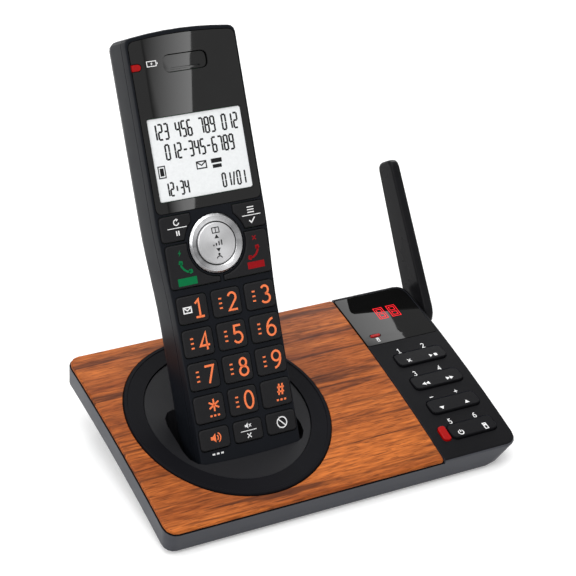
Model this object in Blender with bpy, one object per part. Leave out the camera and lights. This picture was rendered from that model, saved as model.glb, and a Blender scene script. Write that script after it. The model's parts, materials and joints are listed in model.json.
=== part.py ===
# Cordless telephone answering machine: a sloping base with a round cradle and a control panel,
# a folding aerial, and the handset that stands in the cradle.
# Lengths are in metres, angles in degrees. X runs along the base towards its control panel,
# Y towards its back, Z up. The finished part stands with the middle of its footprint at the origin.

import math

import bmesh
import bpy
from mathutils import Vector

# General fits
gap = 0.0003              # between faces that meet
overrun = 0.002           # how far a cutter passes the face that it cuts
weld = 0.000005           # vertices closer than this are one
smooth_angle = 32
round_steps = 22          # sides of small rounds
dial_steps = 36
cup_steps = 48
ring_steps = 64

# Base: the upper case is a slab, arched from front to back, that slopes down to the front
base_width = 0.1654
base_depth = 0.0976
deck_height = 0.0220      # top of the slab above the table, over the middle
deck_slope_share = 0.18   # rise for each unit of depth
deck_arc_radius = 0.607
deck_strips = 7
band_height = 0.0099      # height of the slab's edge
side_undercut = 0.0006    # how far the edge leans in at its foot
front_undercut = 0.0002
case_corner = 0.0053
left_foot_corner = 0.0045
right_foot_corner = 0.0140
case_edge = 0.0010        # rounding along the top edge
case_wall = 0.0024
cavity_right_corner = 0.0120
top_wall = 0.0018
panel_width = 0.0372      # control panel, at the right end

# Wood inlay
wood_thickness = 0.0013
wood_inset = 0.0005
wood_edge = 0.0007
wood_inner_corner = 0.0014

# Cradle: trim ring, dished cup and the pocket in it
cradle_from_left = 0.05115
cradle_forward = -0.0005
ring_outer_radius = 0.0430
ring_inner_radius = 0.0347
ring_proud = 0.0007
ring_lip_width = 0.0016
ring_lip_step = 0.0003
ring_inner_drop = 0.0004
cup_flange_radius = 0.0380
cup_wall = 0.0016
dish_rim_drop = 0.0006
dish_depth = 0.0015
pocket_clearance = 0.0005
pocket_wall = 0.0009
pocket_spread = 0.0036    # widening of the pocket's sides between its foot and the dish
pocket_reach = 0.034      # how far the pocket's cutter runs up along the handset
pocket_foot_corner = 0.0011
pocket_corner = 0.0060

# Lower case: a tub that tapers in below the slab
foot_height = 0.0012
floor_thickness = 0.0015
tub_wall = 0.0018
tub_side_inset = 0.0200
tub_front_inset = 0.0050
tub_back_inset = 0.0080
tub_rim_inset = 0.0027    # its rim stands inside the slab's edge
tub_rim_depth = 0.0082    # of the rim below the deck
tub_left_corner = 0.0062
tub_right_corner = 0.0122
foot_radius = 0.0050
foot_recess = 0.0006
foot_from_side = 0.0088
foot_from_end = 0.0066

# Control panel
window_length = 0.0305
window_margin = 0.0006    # inside the rounded edge of the case
window_thickness = 0.0013
display_width = 0.0172
display_length = 0.0110
display_thickness = 0.0026
display_from_back = 0.0160
display_from_seam = 0.0199
digit_height = 0.0085
digit_width = 0.0052
digit_pitch = 0.0080
segment_width = 0.0009
segment_trim = 0.0006     # between the end of one bar and the middle of the next
segment_proud = 0.0003
use_light_length = 0.0048
use_light_width = 0.0013
use_light_from_seam = 0.0066
use_light_from_window_end = 0.0052
rocker_length = 0.0244
rocker_width = 0.0076
rocker_corner = 0.0022
rocker_proud = 0.0010
rocker_back_proud = 0.0002
rocker_depth = 0.0036
rocker_pitch = 0.0139
rocker_first_from_back = 0.0438
rocker_from_seam = 0.0195
rocker_gap = 0.0004
rocker_pivot_depth = 0.0018
fulcrum_width = 0.0020
fulcrum_tip_width = 0.0007
fulcrum_depth = 0.0012
fulcrum_root = 0.0006     # how far the ridge reaches into its rocker
light_width = 0.0038
light_length = 0.0072
light_proud = 0.0008

# Parts inside the base
board_thickness = 0.0016
board_width = 0.0640
board_length = 0.0700
board_depth = 0.0076      # below the deck
board_from_right = 0.0112
speaker_radius = 0.0180
speaker_height = 0.0072
speaker_magnet_radius = 0.0100
speaker_magnet_height = 0.0028
speaker_from_seam = 0.0075
speaker_behind_middle = 0.0040
slot_width = 0.0020
slot_pitch = 0.0045
slot_count = 6

# Sockets in the back of the lower case
socket_from_right = 0.0447
socket_pitch = 0.0200
socket_height = 0.0098    # middle of the sockets above the table
line_width = 0.0134
line_height = 0.0112
line_depth = 0.0135
line_mouth_width = 0.0098
line_mouth_height = 0.0070
line_mouth_depth = 0.0110
line_notch_width = 0.0040
line_notch_height = 0.0018
power_width = 0.0096
power_depth = 0.0120
power_bore_radius = 0.0030
power_bore_depth = 0.0090
power_pin_radius = 0.0010

# Aerial and its pin
aerial_lean = 38.6
aerial_length = 0.0679    # from its pin to its tip
aerial_root_radius = 0.0081
aerial_tip_half = 0.0060
aerial_thickness = 0.0046
aerial_edge = 0.0012
aerial_tip_corner = 0.0035
aerial_from_back = 0.0115
aerial_pin_drop = 0.0057  # of the pin below the deck
aerial_side_gap = 0.0008
pin_radius = 0.0020
pin_inside = 0.0045
pin_reach_share = 0.6     # of the aerial's thickness
boss_radius = 0.0038

# Handset: x across, y along it from the line where it meets the dish, z out of its face
handset_lean = 32.7
dock_from_centre = 0.0214
dock_depth = 0.00116
handset_below = 0.0032    # length below the dish line
crown_height = 0.0014
upper_half_width = 0.0245
lower_half_width = 0.0229
taper_start = 0.0560
taper_end = 0.0970
handset_corner = 0.0030
least_corner = 0.0010     # of the outlines set in from the handset's
handset_thickness = 0.0220
seam_depth = 0.0046
back_straight = 0.0145    # depth where the back starts to round
back_round = 0.0075
front_edge = 0.0009
shell_wall = 0.0015
face_wall = 0.0022

# Face of the handset
lens_length = 0.0680
lens_margin = 0.0010
lens_top_margin = 0.0020
lens_thickness = 0.0012
lens_corner = 0.0022
lcd_width = 0.0414
lcd_height = 0.0328
lcd_corner = 0.0006
lcd_above_lens_foot = 0.0210
lcd_thickness = 0.0035
lcd_drop = 0.0006         # of the screen below the lens
earpiece_width = 0.0190
earpiece_height = 0.0066
earpiece_corner = 0.0022
earpiece_from_top = 0.0120
earpiece_drop = 0.0009
earpiece_thickness = 0.0024
earpiece_slot_length = 0.0130
earpiece_slot_width = 0.0007
earpiece_slot_margin = 0.0008
earpiece_slot_depth = 0.0008
charge_light_length = 0.0040
charge_light_height = 0.0026

# Dial and keys of the handset
dial_above_call_keys = 0.0152
dial_radius = 0.0120
dial_inner_radius = 0.0088
dial_proud = 0.0012
dial_bevel = 0.0009
dial_seat = 0.0012
disc_gap = 0.0004
disc_proud = 0.0009
disc_dome = 0.0004
key_width = 0.0128
key_height = 0.0110
key_pitch_x = 0.0150
key_pitch_y = 0.0134
key_corner = 0.0014
key_edge = 0.0004
key_proud = 0.0007
key_depth = 0.0034
key_gap = 0.0003
last_row_height = 0.0086
last_row_middle = 0.0091
call_key_gap = 0.0032     # between the call keys and the figures
call_key_height = 0.0174
call_key_inner = 0.0009
call_key_clearance = 0.0012
soft_key_gap = 0.0014
soft_key_height = 0.0102
soft_key_inner = 0.0096
soft_key_clearance = 0.0022
lens_gap = 0.0012         # between the soft keys and the lens
side_margin = 0.0011      # between the outer keys and the case's side

# Inside the handset
hand_board_low = 0.0060
hand_board_from_top = 0.0140
hand_board_thickness = 0.0014
battery_length = 0.0440
battery_radius = 0.0049
battery_low = 0.0430
cell_pitch = 0.0102
bay_wall = 0.0009
door_margin = 0.0050      # beyond each end of the battery
door_depth = 0.0176       # from the face to the door's joint

# Charging contacts
pad_width = 0.0046
pad_height = 0.0026
pad_corner = 0.0006
pad_thickness = 0.0010
pad_half_pitch = 0.0080
pad_depth = 0.0085
contact_width = 0.0030
contact_thickness = 0.0014
contact_edge = 0.0005
contact_length = 0.0046
contact_tip_gap = 0.0003

# Colours, roughness and metal of each finish
finishes = {
    "case": ((0.016, 0.016, 0.019), 0.42, 0.0),
    "slate": ((0.030, 0.032, 0.040), 0.45, 0.0),
    "wood": ((0.46, 0.20, 0.065), 0.45, 0.0),
    "gloss": ((0.010, 0.010, 0.011), 0.08, 0.0),
    "key": ((0.020, 0.021, 0.023), 0.50, 0.0),
    "screen": ((0.80, 0.82, 0.82), 0.35, 0.0),
    "silver": ((0.62, 0.62, 0.63), 0.28, 1.0),
    "red": ((0.72, 0.01, 0.01), 0.20, 0.0),
    "board": ((0.02, 0.16, 0.06), 0.50, 0.0),
    "cone": ((0.05, 0.05, 0.05), 0.70, 0.0),
    "brass": ((0.80, 0.58, 0.26), 0.25, 1.0),
    "rubber": ((0.02, 0.02, 0.02), 0.80, 0.0),
    "cell": ((0.05, 0.16, 0.42), 0.40, 0.0),
    "steel": ((0.60, 0.60, 0.60), 0.30, 1.0),
}

# Values worked out from those above
half_width = base_width / 2
half_depth = base_depth / 2
seam_x = half_width - panel_width
ring_x = cradle_from_left - half_width
ring_y = -cradle_forward
rebate = wood_thickness + gap
cavity_top = rebate + top_wall
floor_top = foot_height + floor_thickness
handset_end = -handset_below
speaker_x = seam_x - speaker_from_seam
speaker_y = speaker_behind_middle
keypad_inner = key_pitch_x - key_width / 2
keypad_outer = lower_half_width - side_margin
keypad_columns = [(-keypad_outer, -keypad_inner), (-key_width / 2, key_width / 2),
                  (keypad_inner, keypad_outer)]
last_figures = last_row_middle + (last_row_height - key_height) / 2 + key_pitch_y
first_figures = last_figures + 3 * key_pitch_y
call_key_low = first_figures + key_height / 2 + call_key_gap
call_key_high = call_key_low + call_key_height
dial_middle = call_key_low + dial_above_call_keys
soft_key_low = call_key_high + soft_key_gap
soft_key_high = soft_key_low + soft_key_height
lens_bottom = soft_key_high + lens_gap
lens_top = lens_bottom + lens_length
handset_above = lens_top + lens_top_margin
lcd_middle = lens_bottom + lcd_above_lens_foot
earpiece_middle = handset_above - earpiece_from_top
hand_board_high = handset_above - hand_board_from_top
door_low = battery_low - door_margin
door_high = battery_low + battery_length + door_margin
hand_board_depth = lcd_drop + lcd_thickness + gap
hand_board_half_width = lower_half_width - shell_wall - gap
battery_depth = handset_thickness - shell_wall - gap - battery_radius
bay_depth = battery_depth - battery_radius - gap
bay_top = bay_depth - bay_wall


def deck_z(y):
    """Height of the deck's top face above the table."""
    return deck_height + deck_slope_share * y - y * y / (2 * deck_arc_radius)


def deck_angle(y):
    return math.atan(deck_slope_share - y / deck_arc_radius)


def rounded_outline(x_low, x_high, y_low, y_high, radii, steps=3):
    """Anticlockwise outline of a rectangle whose corners, from the lower right, have these radii."""
    if not isinstance(radii, (list, tuple)):
        radii = [radii] * 4
    corners = [(x_high, y_low, 1, -1, -90), (x_high, y_high, 1, 1, 0),
               (x_low, y_high, -1, 1, 90), (x_low, y_low, -1, -1, 180)]
    points = []
    for (x, y, side_x, side_y, start), radius in zip(corners, radii):
        centre_x = x - side_x * radius
        centre_y = y - side_y * radius
        for step in range(steps + 1):
            angle = math.radians(start + 90 * step / steps)
            points.append((centre_x + radius * math.cos(angle), centre_y + radius * math.sin(angle)))
    return points


def circle_outline(x, y, radius, steps):
    return [(x + radius * math.cos(2 * math.pi * step / steps),
             y + radius * math.sin(2 * math.pi * step / steps)) for step in range(steps)]


def loft(mesh, sections):
    """Close a body through rings of points that have as many points each."""
    rings = [[mesh.verts.new(point) for point in section] for section in sections]
    for low, high in zip(rings, rings[1:]):
        count = len(low)
        for index in range(count):
            following = (index + 1) % count
            mesh.faces.new((low[index], low[following], high[following], high[index]))
    mesh.faces.new(list(reversed(rings[0])))
    mesh.faces.new(rings[-1])


def level(outline, z):
    return [(x, y, z) for x, y in outline]


def prism(mesh, outline, z_low, z_high):
    loft(mesh, [level(outline, z_low), level(outline, z_high)])


def rounded_top(mesh, outline_at, z_low, z_high, edge):
    """A prism whose top edge is rounded; outline_at gives its outline for an inset."""
    loft(mesh, [level(outline_at(0.0), z_low), level(outline_at(0.0), z_high - edge),
                level(outline_at(edge * (1 - math.cos(math.pi / 4))),
                      z_high - edge * (1 - math.sin(math.pi / 4))),
                level(outline_at(edge), z_high)])


def turned(mesh, profile, x, y, steps):
    """A closed ring turned about the vertical through x, y from a profile."""
    rings = []
    for step in range(steps):
        angle = 2 * math.pi * step / steps
        rings.append([mesh.verts.new((x + radius * math.cos(angle), y + radius * math.sin(angle), z))
                      for radius, z in profile])
    for step in range(steps):
        this, other = rings[step], rings[(step + 1) % steps]
        for index in range(len(profile)):
            following = (index + 1) % len(profile)
            mesh.faces.new((this[index], other[index], other[following], this[following]))


def material_for(name, finish):
    colour, roughness, metallic = finishes[finish]
    material = bpy.data.materials.new(name)
    material.use_nodes = True
    shader = material.node_tree.nodes["Principled BSDF"]
    shader.inputs["Base Color"].default_value = (*colour, 1.0)
    shader.inputs["Roughness"].default_value = roughness
    shader.inputs["Metallic"].default_value = metallic
    material.diffuse_color = (*colour, 1.0)
    return material


def settle(mesh):
    """Weld vertices that meet and turn every face out."""
    bmesh.ops.remove_doubles(mesh, verts=mesh.verts, dist=weld)
    bmesh.ops.recalc_face_normals(mesh, faces=mesh.faces)


def place(name, mesh, finish, parent, location=(0.0, 0.0, 0.0), rotation=(0.0, 0.0, 0.0)):
    """Make the named object of a mesh under its parent."""
    settle(mesh)
    data = bpy.data.meshes.new(name)
    mesh.to_mesh(data)
    mesh.free()
    piece = bpy.data.objects.new(name, data)
    bpy.context.collection.objects.link(piece)
    piece.parent = parent
    piece.location = location
    piece.rotation_euler = rotation
    if finish:
        data.materials.append(material_for(name, finish))
        data.shade_smooth()
        data.set_sharp_from_angle(angle=math.radians(smooth_angle))
    else:
        piece.hide_render = True
        piece.display_type = "WIRE"
    return piece


def frame_at(name, parent, location, rotation=(0.0, 0.0, 0.0)):
    frame = bpy.data.objects.new(name, None)
    bpy.context.collection.objects.link(frame)
    frame.parent = parent
    frame.location = location
    frame.rotation_euler = rotation
    return frame


def combine(target, tool, operation="DIFFERENCE", keep=False):
    """Apply a Boolean with another object and drop that object."""
    bpy.context.view_layer.update()
    modifier = target.modifiers.new("combine", "BOOLEAN")
    modifier.operation = operation
    modifier.solver = "EXACT"
    modifier.object = tool
    depsgraph = bpy.context.evaluated_depsgraph_get()
    result = bpy.data.meshes.new_from_object(target.evaluated_get(depsgraph))
    target.modifiers.remove(modifier)
    old = target.data
    result.name = old.name
    target.data = result
    bpy.data.meshes.remove(old)
    if not keep:
        drop(tool)


def drop(tool):
    data = tool.data
    bpy.data.objects.remove(tool)
    bpy.data.meshes.remove(data)


def reshape(piece, move, cuts=()):
    """Cut a mesh across at the given depths, then move each of its vertices."""
    mesh = bmesh.new()
    mesh.from_mesh(piece.data)
    for y in cuts:
        bmesh.ops.bisect_plane(mesh, geom=mesh.verts[:] + mesh.edges[:] + mesh.faces[:], dist=weld,
                               plane_co=(0.0, y, 0.0), plane_no=(0.0, 1.0, 0.0))
    for vertex in mesh.verts:
        vertex.co = move(vertex.co)
    settle(mesh)
    bmesh.ops.triangulate(mesh, faces=mesh.faces)
    mesh.to_mesh(piece.data)
    mesh.free()


def deck_cuts():
    return [half_depth * (2 * strip / deck_strips - 1) for strip in range(1, deck_strips)]


def drape(piece):
    """Lay a piece that was modelled flat onto the deck's curve."""
    reshape(piece, lambda point: Vector((point.x, point.y, point.z + deck_z(point.y))), deck_cuts())


def case_outline(inset, corners, front_extra=0.0):
    return rounded_outline(-half_width + inset, half_width - inset,
                           -half_depth + inset + front_extra, half_depth - inset, corners, 4)


def slab_openings():
    """Outlines of the openings through the slab's top wall."""
    outlines = [circle_outline(ring_x, ring_y, cup_flange_radius + gap, cup_steps), light_outline(-gap),
                display_outline(-gap), use_light_outline(-gap)]
    return outlines + [rocker_outline(row, -rocker_gap) for row in range(len(rocker_places()))]


def pierce(piece, outlines, low, high, parent):
    """Cut openings of these outlines one after another."""
    for outline in outlines:
        mesh = bmesh.new()
        prism(mesh, outline, low, high)
        combine(piece, place("opening", mesh, None, parent))


def rocker_places():
    """Middles of the four rockers from back to front."""
    return [(seam_x + rocker_from_seam, half_depth - rocker_first_from_back - row * rocker_pitch)
            for row in range(4)]


def rocker_bounds(row):
    """The front rocker is cut short at its left, where its lamp stands."""
    x, y = rocker_places()[row]
    left = -rocker_length / 2
    if row == 3:
        left += light_width / 2
    return x + left, x + rocker_length / 2, y - rocker_width / 2, y + rocker_width / 2


def rocker_outline(row, inset):
    left, right, front, back = rocker_bounds(row)
    radius = rocker_corner - inset
    return rounded_outline(left + inset, right - inset, front + inset, back - inset, radius)


def light_outline(inset):
    """Outline of the lamp at the left end of the front rocker."""
    bounds = rocker_bounds(3)
    back = bounds[3]
    edge = bounds[0] - rocker_gap - gap
    radius = light_width / 2 - gap
    return rounded_outline(edge - light_width + inset, edge - inset,
                           back - light_length + inset, back - inset,
                           [case_edge - inset, case_edge - inset, radius - inset, radius - inset])


def display_outline(inset):
    x = seam_x + display_from_seam
    y = half_depth - display_from_back
    return rounded_outline(x - display_width / 2 + inset, x + display_width / 2 - inset,
                           y - display_length / 2 + inset, y + display_length / 2 - inset,
                           case_edge - inset, 1)


def window_outline(inset):
    return rounded_outline(seam_x + inset, half_width - window_margin - case_edge - inset,
                           half_depth - window_margin - case_edge - window_length + inset,
                           half_depth - window_margin - case_edge - inset,
                           [case_edge - inset, case_corner - window_margin - inset,
                            case_edge - inset, case_edge - inset])


def use_light_outline(inset):
    x = seam_x + use_light_from_seam
    y = half_depth - window_margin - case_edge - window_length + use_light_from_window_end
    radius = use_light_width / 2 - inset
    return rounded_outline(x - use_light_length / 2 + inset, x + use_light_length / 2 - inset,
                           y - use_light_width / 2 + inset, y + use_light_width / 2 - inset, radius)


def aerial_place():
    """Pin of the aerial: its inner face, and the pin's place along and above the table."""
    x = half_width + aerial_side_gap
    y = half_depth - aerial_from_back
    return x, y, deck_z(y) - aerial_pin_drop


def build_top_case(base):
    mesh = bmesh.new()
    feet = [right_foot_corner, right_foot_corner, left_foot_corner, left_foot_corner]
    quarter = math.pi / 4
    loft(mesh, [level(case_outline(side_undercut, feet, front_undercut), -band_height),
                level(case_outline(0.0, case_corner), -case_edge),
                level(case_outline(case_edge * (1 - math.cos(quarter)), case_corner),
                      -case_edge * (1 - math.sin(quarter))),
                level(case_outline(case_edge, case_corner), 0.0)])
    case = place("base_top_case", mesh, "slate", base)

    mesh = bmesh.new()
    prism(mesh, rounded_outline(-half_width - overrun, seam_x, -half_depth - overrun,
                                half_depth + overrun, [wood_inner_corner, wood_inner_corner, gap, gap], 2),
          -rebate, overrun)
    combine(case, place("wood_rebate", mesh, None, base))
    mesh = bmesh.new()
    prism(mesh, window_outline(-gap), -window_thickness - gap, overrun)
    combine(case, place("window_rebate", mesh, None, base))
    corners = [cavity_right_corner, cavity_right_corner, case_corner, case_corner]
    mesh = bmesh.new()
    prism(mesh, case_outline(case_wall, corners, front_undercut), -band_height - overrun, -cavity_top)
    combine(case, place("slab_cavity", mesh, None, base))
    pierce(case, slab_openings(), -band_height - overrun, overrun, base)
    drape(case)

    x, y, z = aerial_place()
    boss_end = x - gap
    case_side(case, base, boss_radius, half_width - case_wall - pin_inside / 2, boss_end, y, z, "UNION")
    case_side(case, base, pin_radius + gap, half_width - case_wall - pin_inside - overrun,
              boss_end + overrun, y, z, "DIFFERENCE")


def case_side(case, base, radius, x_low, x_high, y, z, operation):
    """Add or bore a round along X through the right side of the slab."""
    mesh = bmesh.new()
    rod(mesh, radius, x_low, x_high, y, z)
    combine(case, place("side_round", mesh, None, base), operation)


def rod(mesh, radius, x_low, x_high, y, z):
    ring = circle_outline(0.0, 0.0, radius, round_steps)
    loft(mesh, [[(x_low, y + a, z + b) for a, b in ring], [(x_high, y + a, z + b) for a, b in ring]])


def build_wood(base):
    def outline(inset):
        edge = wood_inset + inset
        corner = case_corner - edge
        inner = wood_inner_corner - inset
        return rounded_outline(-half_width + edge, seam_x - gap - inset, -half_depth + edge,
                               half_depth - edge, [inner, inner, corner, corner])

    mesh = bmesh.new()
    rounded_top(mesh, outline, -wood_thickness, 0.0, wood_edge)
    panel = place("wood_panel", mesh, "wood", base)
    mesh = bmesh.new()
    prism(mesh, circle_outline(ring_x, ring_y, ring_outer_radius + gap, ring_steps),
          -wood_thickness - overrun, overrun)
    combine(panel, place("ring_hole", mesh, None, base))
    drape(panel)


def build_ring(base):
    lip = ring_outer_radius - ring_lip_width
    face = ring_proud - ring_lip_step
    mesh = bmesh.new()
    turned(mesh, [(ring_outer_radius, -wood_thickness), (ring_outer_radius, ring_lip_step),
                  (ring_outer_radius - ring_lip_step, ring_proud), (lip, ring_proud), (lip, face),
                  (ring_inner_radius, face - ring_inner_drop), (ring_inner_radius, -wood_thickness)],
           ring_x, ring_y, ring_steps)
    drape(place("cradle_ring", mesh, "case", base))


def dish_z(radius, rim):
    """Depth of the dish at a radius, flat on to the deck."""
    share = radius / rim
    return -dish_rim_drop - dish_depth * (1 - share * share)


def pocket_sections(clearance, top):
    """Rings of the handset's pocket up along it, a clearance out from the handset's end."""
    sections = []
    for step in range(5):
        angle = math.radians(90 * step / 4)
        inset = back_round * (1 - math.cos(angle))
        depth = back_straight + (handset_thickness - back_straight) * math.sin(angle)
        sections.append((handset_end - clearance + inset, depth + clearance))
    sections.append((top, handset_thickness + clearance))
    rings = []
    for along, depth in sections:
        share = min(max((along - handset_end) / handset_below, 0.0), 1.0)
        half = lower_half_width + clearance + pocket_spread * share
        corner = pocket_foot_corner + (pocket_corner - pocket_foot_corner) * share
        outline = rounded_outline(-half, half, -depth, clearance, corner, 3)
        rings.append([(x, along, z) for x, z in outline])
    return rings


def build_cup(base, handset_frame):
    rim = ring_inner_radius - gap
    top_steps = 5
    profile = [(cup_flange_radius, -wood_thickness - gap - cup_wall),
               (cup_flange_radius, -wood_thickness - gap), (rim, -wood_thickness - gap)]
    profile += [(rim * (1 - step / top_steps), dish_z(rim * (1 - step / top_steps), rim))
                for step in range(top_steps)]
    floor_radius = cup_flange_radius - cup_wall
    under = [(floor_radius * step / top_steps,
              dish_z(floor_radius * step / top_steps, cup_flange_radius) - cup_wall)
             for step in range(1, top_steps + 1)]
    sections = [level(circle_outline(ring_x, ring_y, radius, cup_steps), z) for radius, z in under + profile]
    mesh = bmesh.new()
    loft(mesh, sections)
    cup = place("cradle_cup", mesh, "case", base)
    drape(cup)

    mesh = bmesh.new()
    loft(mesh, pocket_sections(pocket_clearance + pocket_wall, pocket_reach))
    shell = place("pocket_shell", mesh, None, handset_frame)
    mesh = bmesh.new()
    block_top = dish_rim_drop + dish_depth
    prism(mesh, rounded_outline(ring_x - rim, ring_x + rim, -rim, rim, case_edge, 1),
          -block_top - deck_height, -block_top)
    block = place("below_dish", mesh, None, base)
    drape(block)
    combine(shell, block, "INTERSECT")
    combine(cup, shell, "UNION")
    mesh = bmesh.new()
    loft(mesh, pocket_sections(pocket_clearance, pocket_reach))
    combine(cup, place("pocket_space", mesh, None, handset_frame))
    mesh = bmesh.new()
    for side in (-1, 1):
        prism(mesh, contact_outline(side, -gap), handset_end - pocket_clearance - pocket_wall - overrun,
              handset_end)
    slots = place("contact_slots", mesh, None, handset_frame)
    slots.rotation_euler = (-math.pi / 2, 0.0, 0.0)
    combine(cup, slots)


def contact_outline(side, inset):
    """Outline of a charging contact across the handset; its second value counts depth from the face."""
    x = side * pad_half_pitch
    return rounded_outline(x - contact_width / 2 + inset, x + contact_width / 2 - inset,
                           pad_depth - contact_thickness / 2 + inset,
                           pad_depth + contact_thickness / 2 - inset, gap, 1)


def build_contacts(handset_frame):
    tip = handset_end - contact_tip_gap
    for side, word in ((-1, "left"), (1, "right")):
        mesh = bmesh.new()

        def outline(inset):
            return contact_outline(side, inset)

        rounded_top(mesh, outline, tip - contact_length, tip, contact_edge)
        place("charge_contact_" + word, mesh, "brass", handset_frame, rotation=(-math.pi / 2, 0.0, 0.0))
        mesh = bmesh.new()
        x = side * pad_half_pitch
        prism(mesh, pad_outline(x, 0.0), handset_end, handset_end + pad_thickness)
        place("charge_pad_" + word, mesh, "brass", handset_frame, rotation=(-math.pi / 2, 0.0, 0.0))


def pad_outline(x, inset):
    return rounded_outline(x - pad_width / 2 + inset, x + pad_width / 2 - inset,
                           pad_depth - pad_height / 2 + inset, pad_depth + pad_height / 2 - inset,
                           pad_corner, 1)


def follow_deck(piece, rise):
    """Stretch a flat tub above its floor so that its rim lies along the deck, a rise above the tub's own."""
    def move(point):
        if point.z <= floor_top:
            return point
        share = (point.z - floor_top) / (deck_height - floor_top)
        rim = deck_z(point.y) - tub_rim_depth + rise
        return Vector((point.x, point.y, floor_top + share * (rim - floor_top)))

    reshape(piece, move, deck_cuts())


def tub_outline(inset, share):
    """Outline of the tub; share runs from 0 at its floor to 1 at its rim."""
    def between(low, high):
        return low + (high - low) * share + inset

    side = between(tub_side_inset, tub_rim_inset)
    right = tub_right_corner - inset
    left = tub_left_corner - inset
    return rounded_outline(-half_width + side, half_width - side,
                           -half_depth + between(tub_front_inset, tub_rim_inset),
                           half_depth - between(tub_back_inset, tub_rim_inset), [right, right, left, left], 3)


def socket_places():
    x = half_width - socket_from_right
    return x - socket_pitch, x


def socket_block(mesh, x, width, height, depth, extra, front=0.0):
    """A block for a socket, from behind the tub's back wall to its outer face."""
    back = half_depth - tub_back_inset + front
    outline = rounded_outline(x - width / 2 - extra, x + width / 2 + extra, back - depth - extra,
                              back + extra, case_edge, 1)
    prism(mesh, outline, socket_height - height / 2 - extra, socket_height + height / 2 + extra)


def build_bottom_case(base):
    mesh = bmesh.new()
    loft(mesh, [level(tub_outline(0.0, 0.0), foot_height), level(tub_outline(0.0, 0.0), floor_top),
                level(tub_outline(0.0, 1.0), deck_height)])
    tub = place("base_bottom_case", mesh, "slate", base)
    follow_deck(tub, 0.0)
    mesh = bmesh.new()
    loft(mesh, [level(tub_outline(tub_wall, 0.0), floor_top), level(tub_outline(tub_wall, 1.0), deck_height)])
    space = place("tub_space", mesh, None, base)
    follow_deck(space, floor_thickness)
    combine(tub, space)

    mesh = bmesh.new()
    for x, y in foot_places():
        prism(mesh, circle_outline(x, y, foot_radius + gap, round_steps), foot_height - overrun,
              foot_height + foot_recess + gap)
    for number in range(slot_count):
        x = speaker_x + (number - (slot_count - 1) / 2) * slot_pitch
        reach = math.sqrt(speaker_radius ** 2 - (x - speaker_x) ** 2) - slot_width
        prism(mesh, rounded_outline(x - slot_width / 2, x + slot_width / 2, speaker_y - reach,
                                    speaker_y + reach, slot_width / 2, 2),
              foot_height - overrun, floor_top + overrun)
    line_x, power_x = socket_places()
    socket_block(mesh, line_x, line_width, line_height, line_depth, gap, overrun + tub_back_inset)
    socket_block(mesh, power_x, power_width, power_width, power_depth, gap, overrun + tub_back_inset)
    combine(tub, place("tub_openings", mesh, None, base))
    x, y, z = aerial_place()
    mesh = bmesh.new()
    rod(mesh, boss_radius + gap, half_width - case_wall - pin_inside, x, y, z)
    combine(tub, place("boss_notch", mesh, None, base))


def foot_places():
    x = half_width - tub_side_inset - foot_from_side
    front = -half_depth + tub_front_inset + foot_from_end
    back = half_depth - tub_back_inset - foot_from_end
    return [(-x, front), (x, front), (-x, back), (x, back)]


def build_feet(base):
    names = ["foot_front_left", "foot_front_right", "foot_back_left", "foot_back_right"]
    for name, (x, y) in zip(names, foot_places()):
        mesh = bmesh.new()
        edge = foot_recess / 2
        full = circle_outline(x, y, foot_radius, round_steps)
        loft(mesh, [level(circle_outline(x, y, foot_radius - edge, round_steps), 0.0),
                    level(full, edge), level(full, foot_height + foot_recess)])
        place(name, mesh, "rubber", base)


def build_window(base):
    mesh = bmesh.new()
    prism(mesh, window_outline(0.0), -window_thickness, 0.0)
    window = place("display_window", mesh, "gloss", base)
    mesh = bmesh.new()
    prism(mesh, use_light_outline(-gap), -window_thickness - overrun, overrun)
    combine(window, place("use_light_hole", mesh, None, base))
    drape(window)

    mesh = bmesh.new()
    prism(mesh, use_light_outline(0.0), -cavity_top, segment_proud)
    drape(place("in_use_light", mesh, "red", base))

    mesh = bmesh.new()
    top = -window_thickness - gap - segment_proud
    prism(mesh, display_outline(0.0), top - display_thickness, top)
    display = place("message_display", mesh, "red", base)
    mesh = bmesh.new()
    centre_x = seam_x + display_from_seam
    centre_y = half_depth - display_from_back
    for side in (-1, 1):
        for outline in segment_outlines(centre_x + side * digit_pitch / 2, centre_y):
            prism(mesh, outline, top - segment_proud, top + segment_proud / 2)
    combine(display, place("segments", mesh, None, base), "UNION")
    drape(display)


def segment_outlines(x, y):
    """Seven bars of one figure of the display, kept apart at their ends."""
    half_w = digit_width / 2
    half_h = digit_height / 2
    bars = []
    for row in (-1, 0, 1):
        bars.append((x - half_w + segment_trim, x + half_w - segment_trim,
                     y + row * half_h - segment_width / 2, y + row * half_h + segment_width / 2))
    for side in (-1, 1):
        for low in (-1, 0):
            bars.append((x + side * half_w - segment_width / 2, x + side * half_w + segment_width / 2,
                         y + low * half_h + segment_trim, y + (low + 1) * half_h - segment_trim))
    return [[(left, front), (right, front), (right, back), (left, back)]
            for left, right, front, back in bars]


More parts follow.
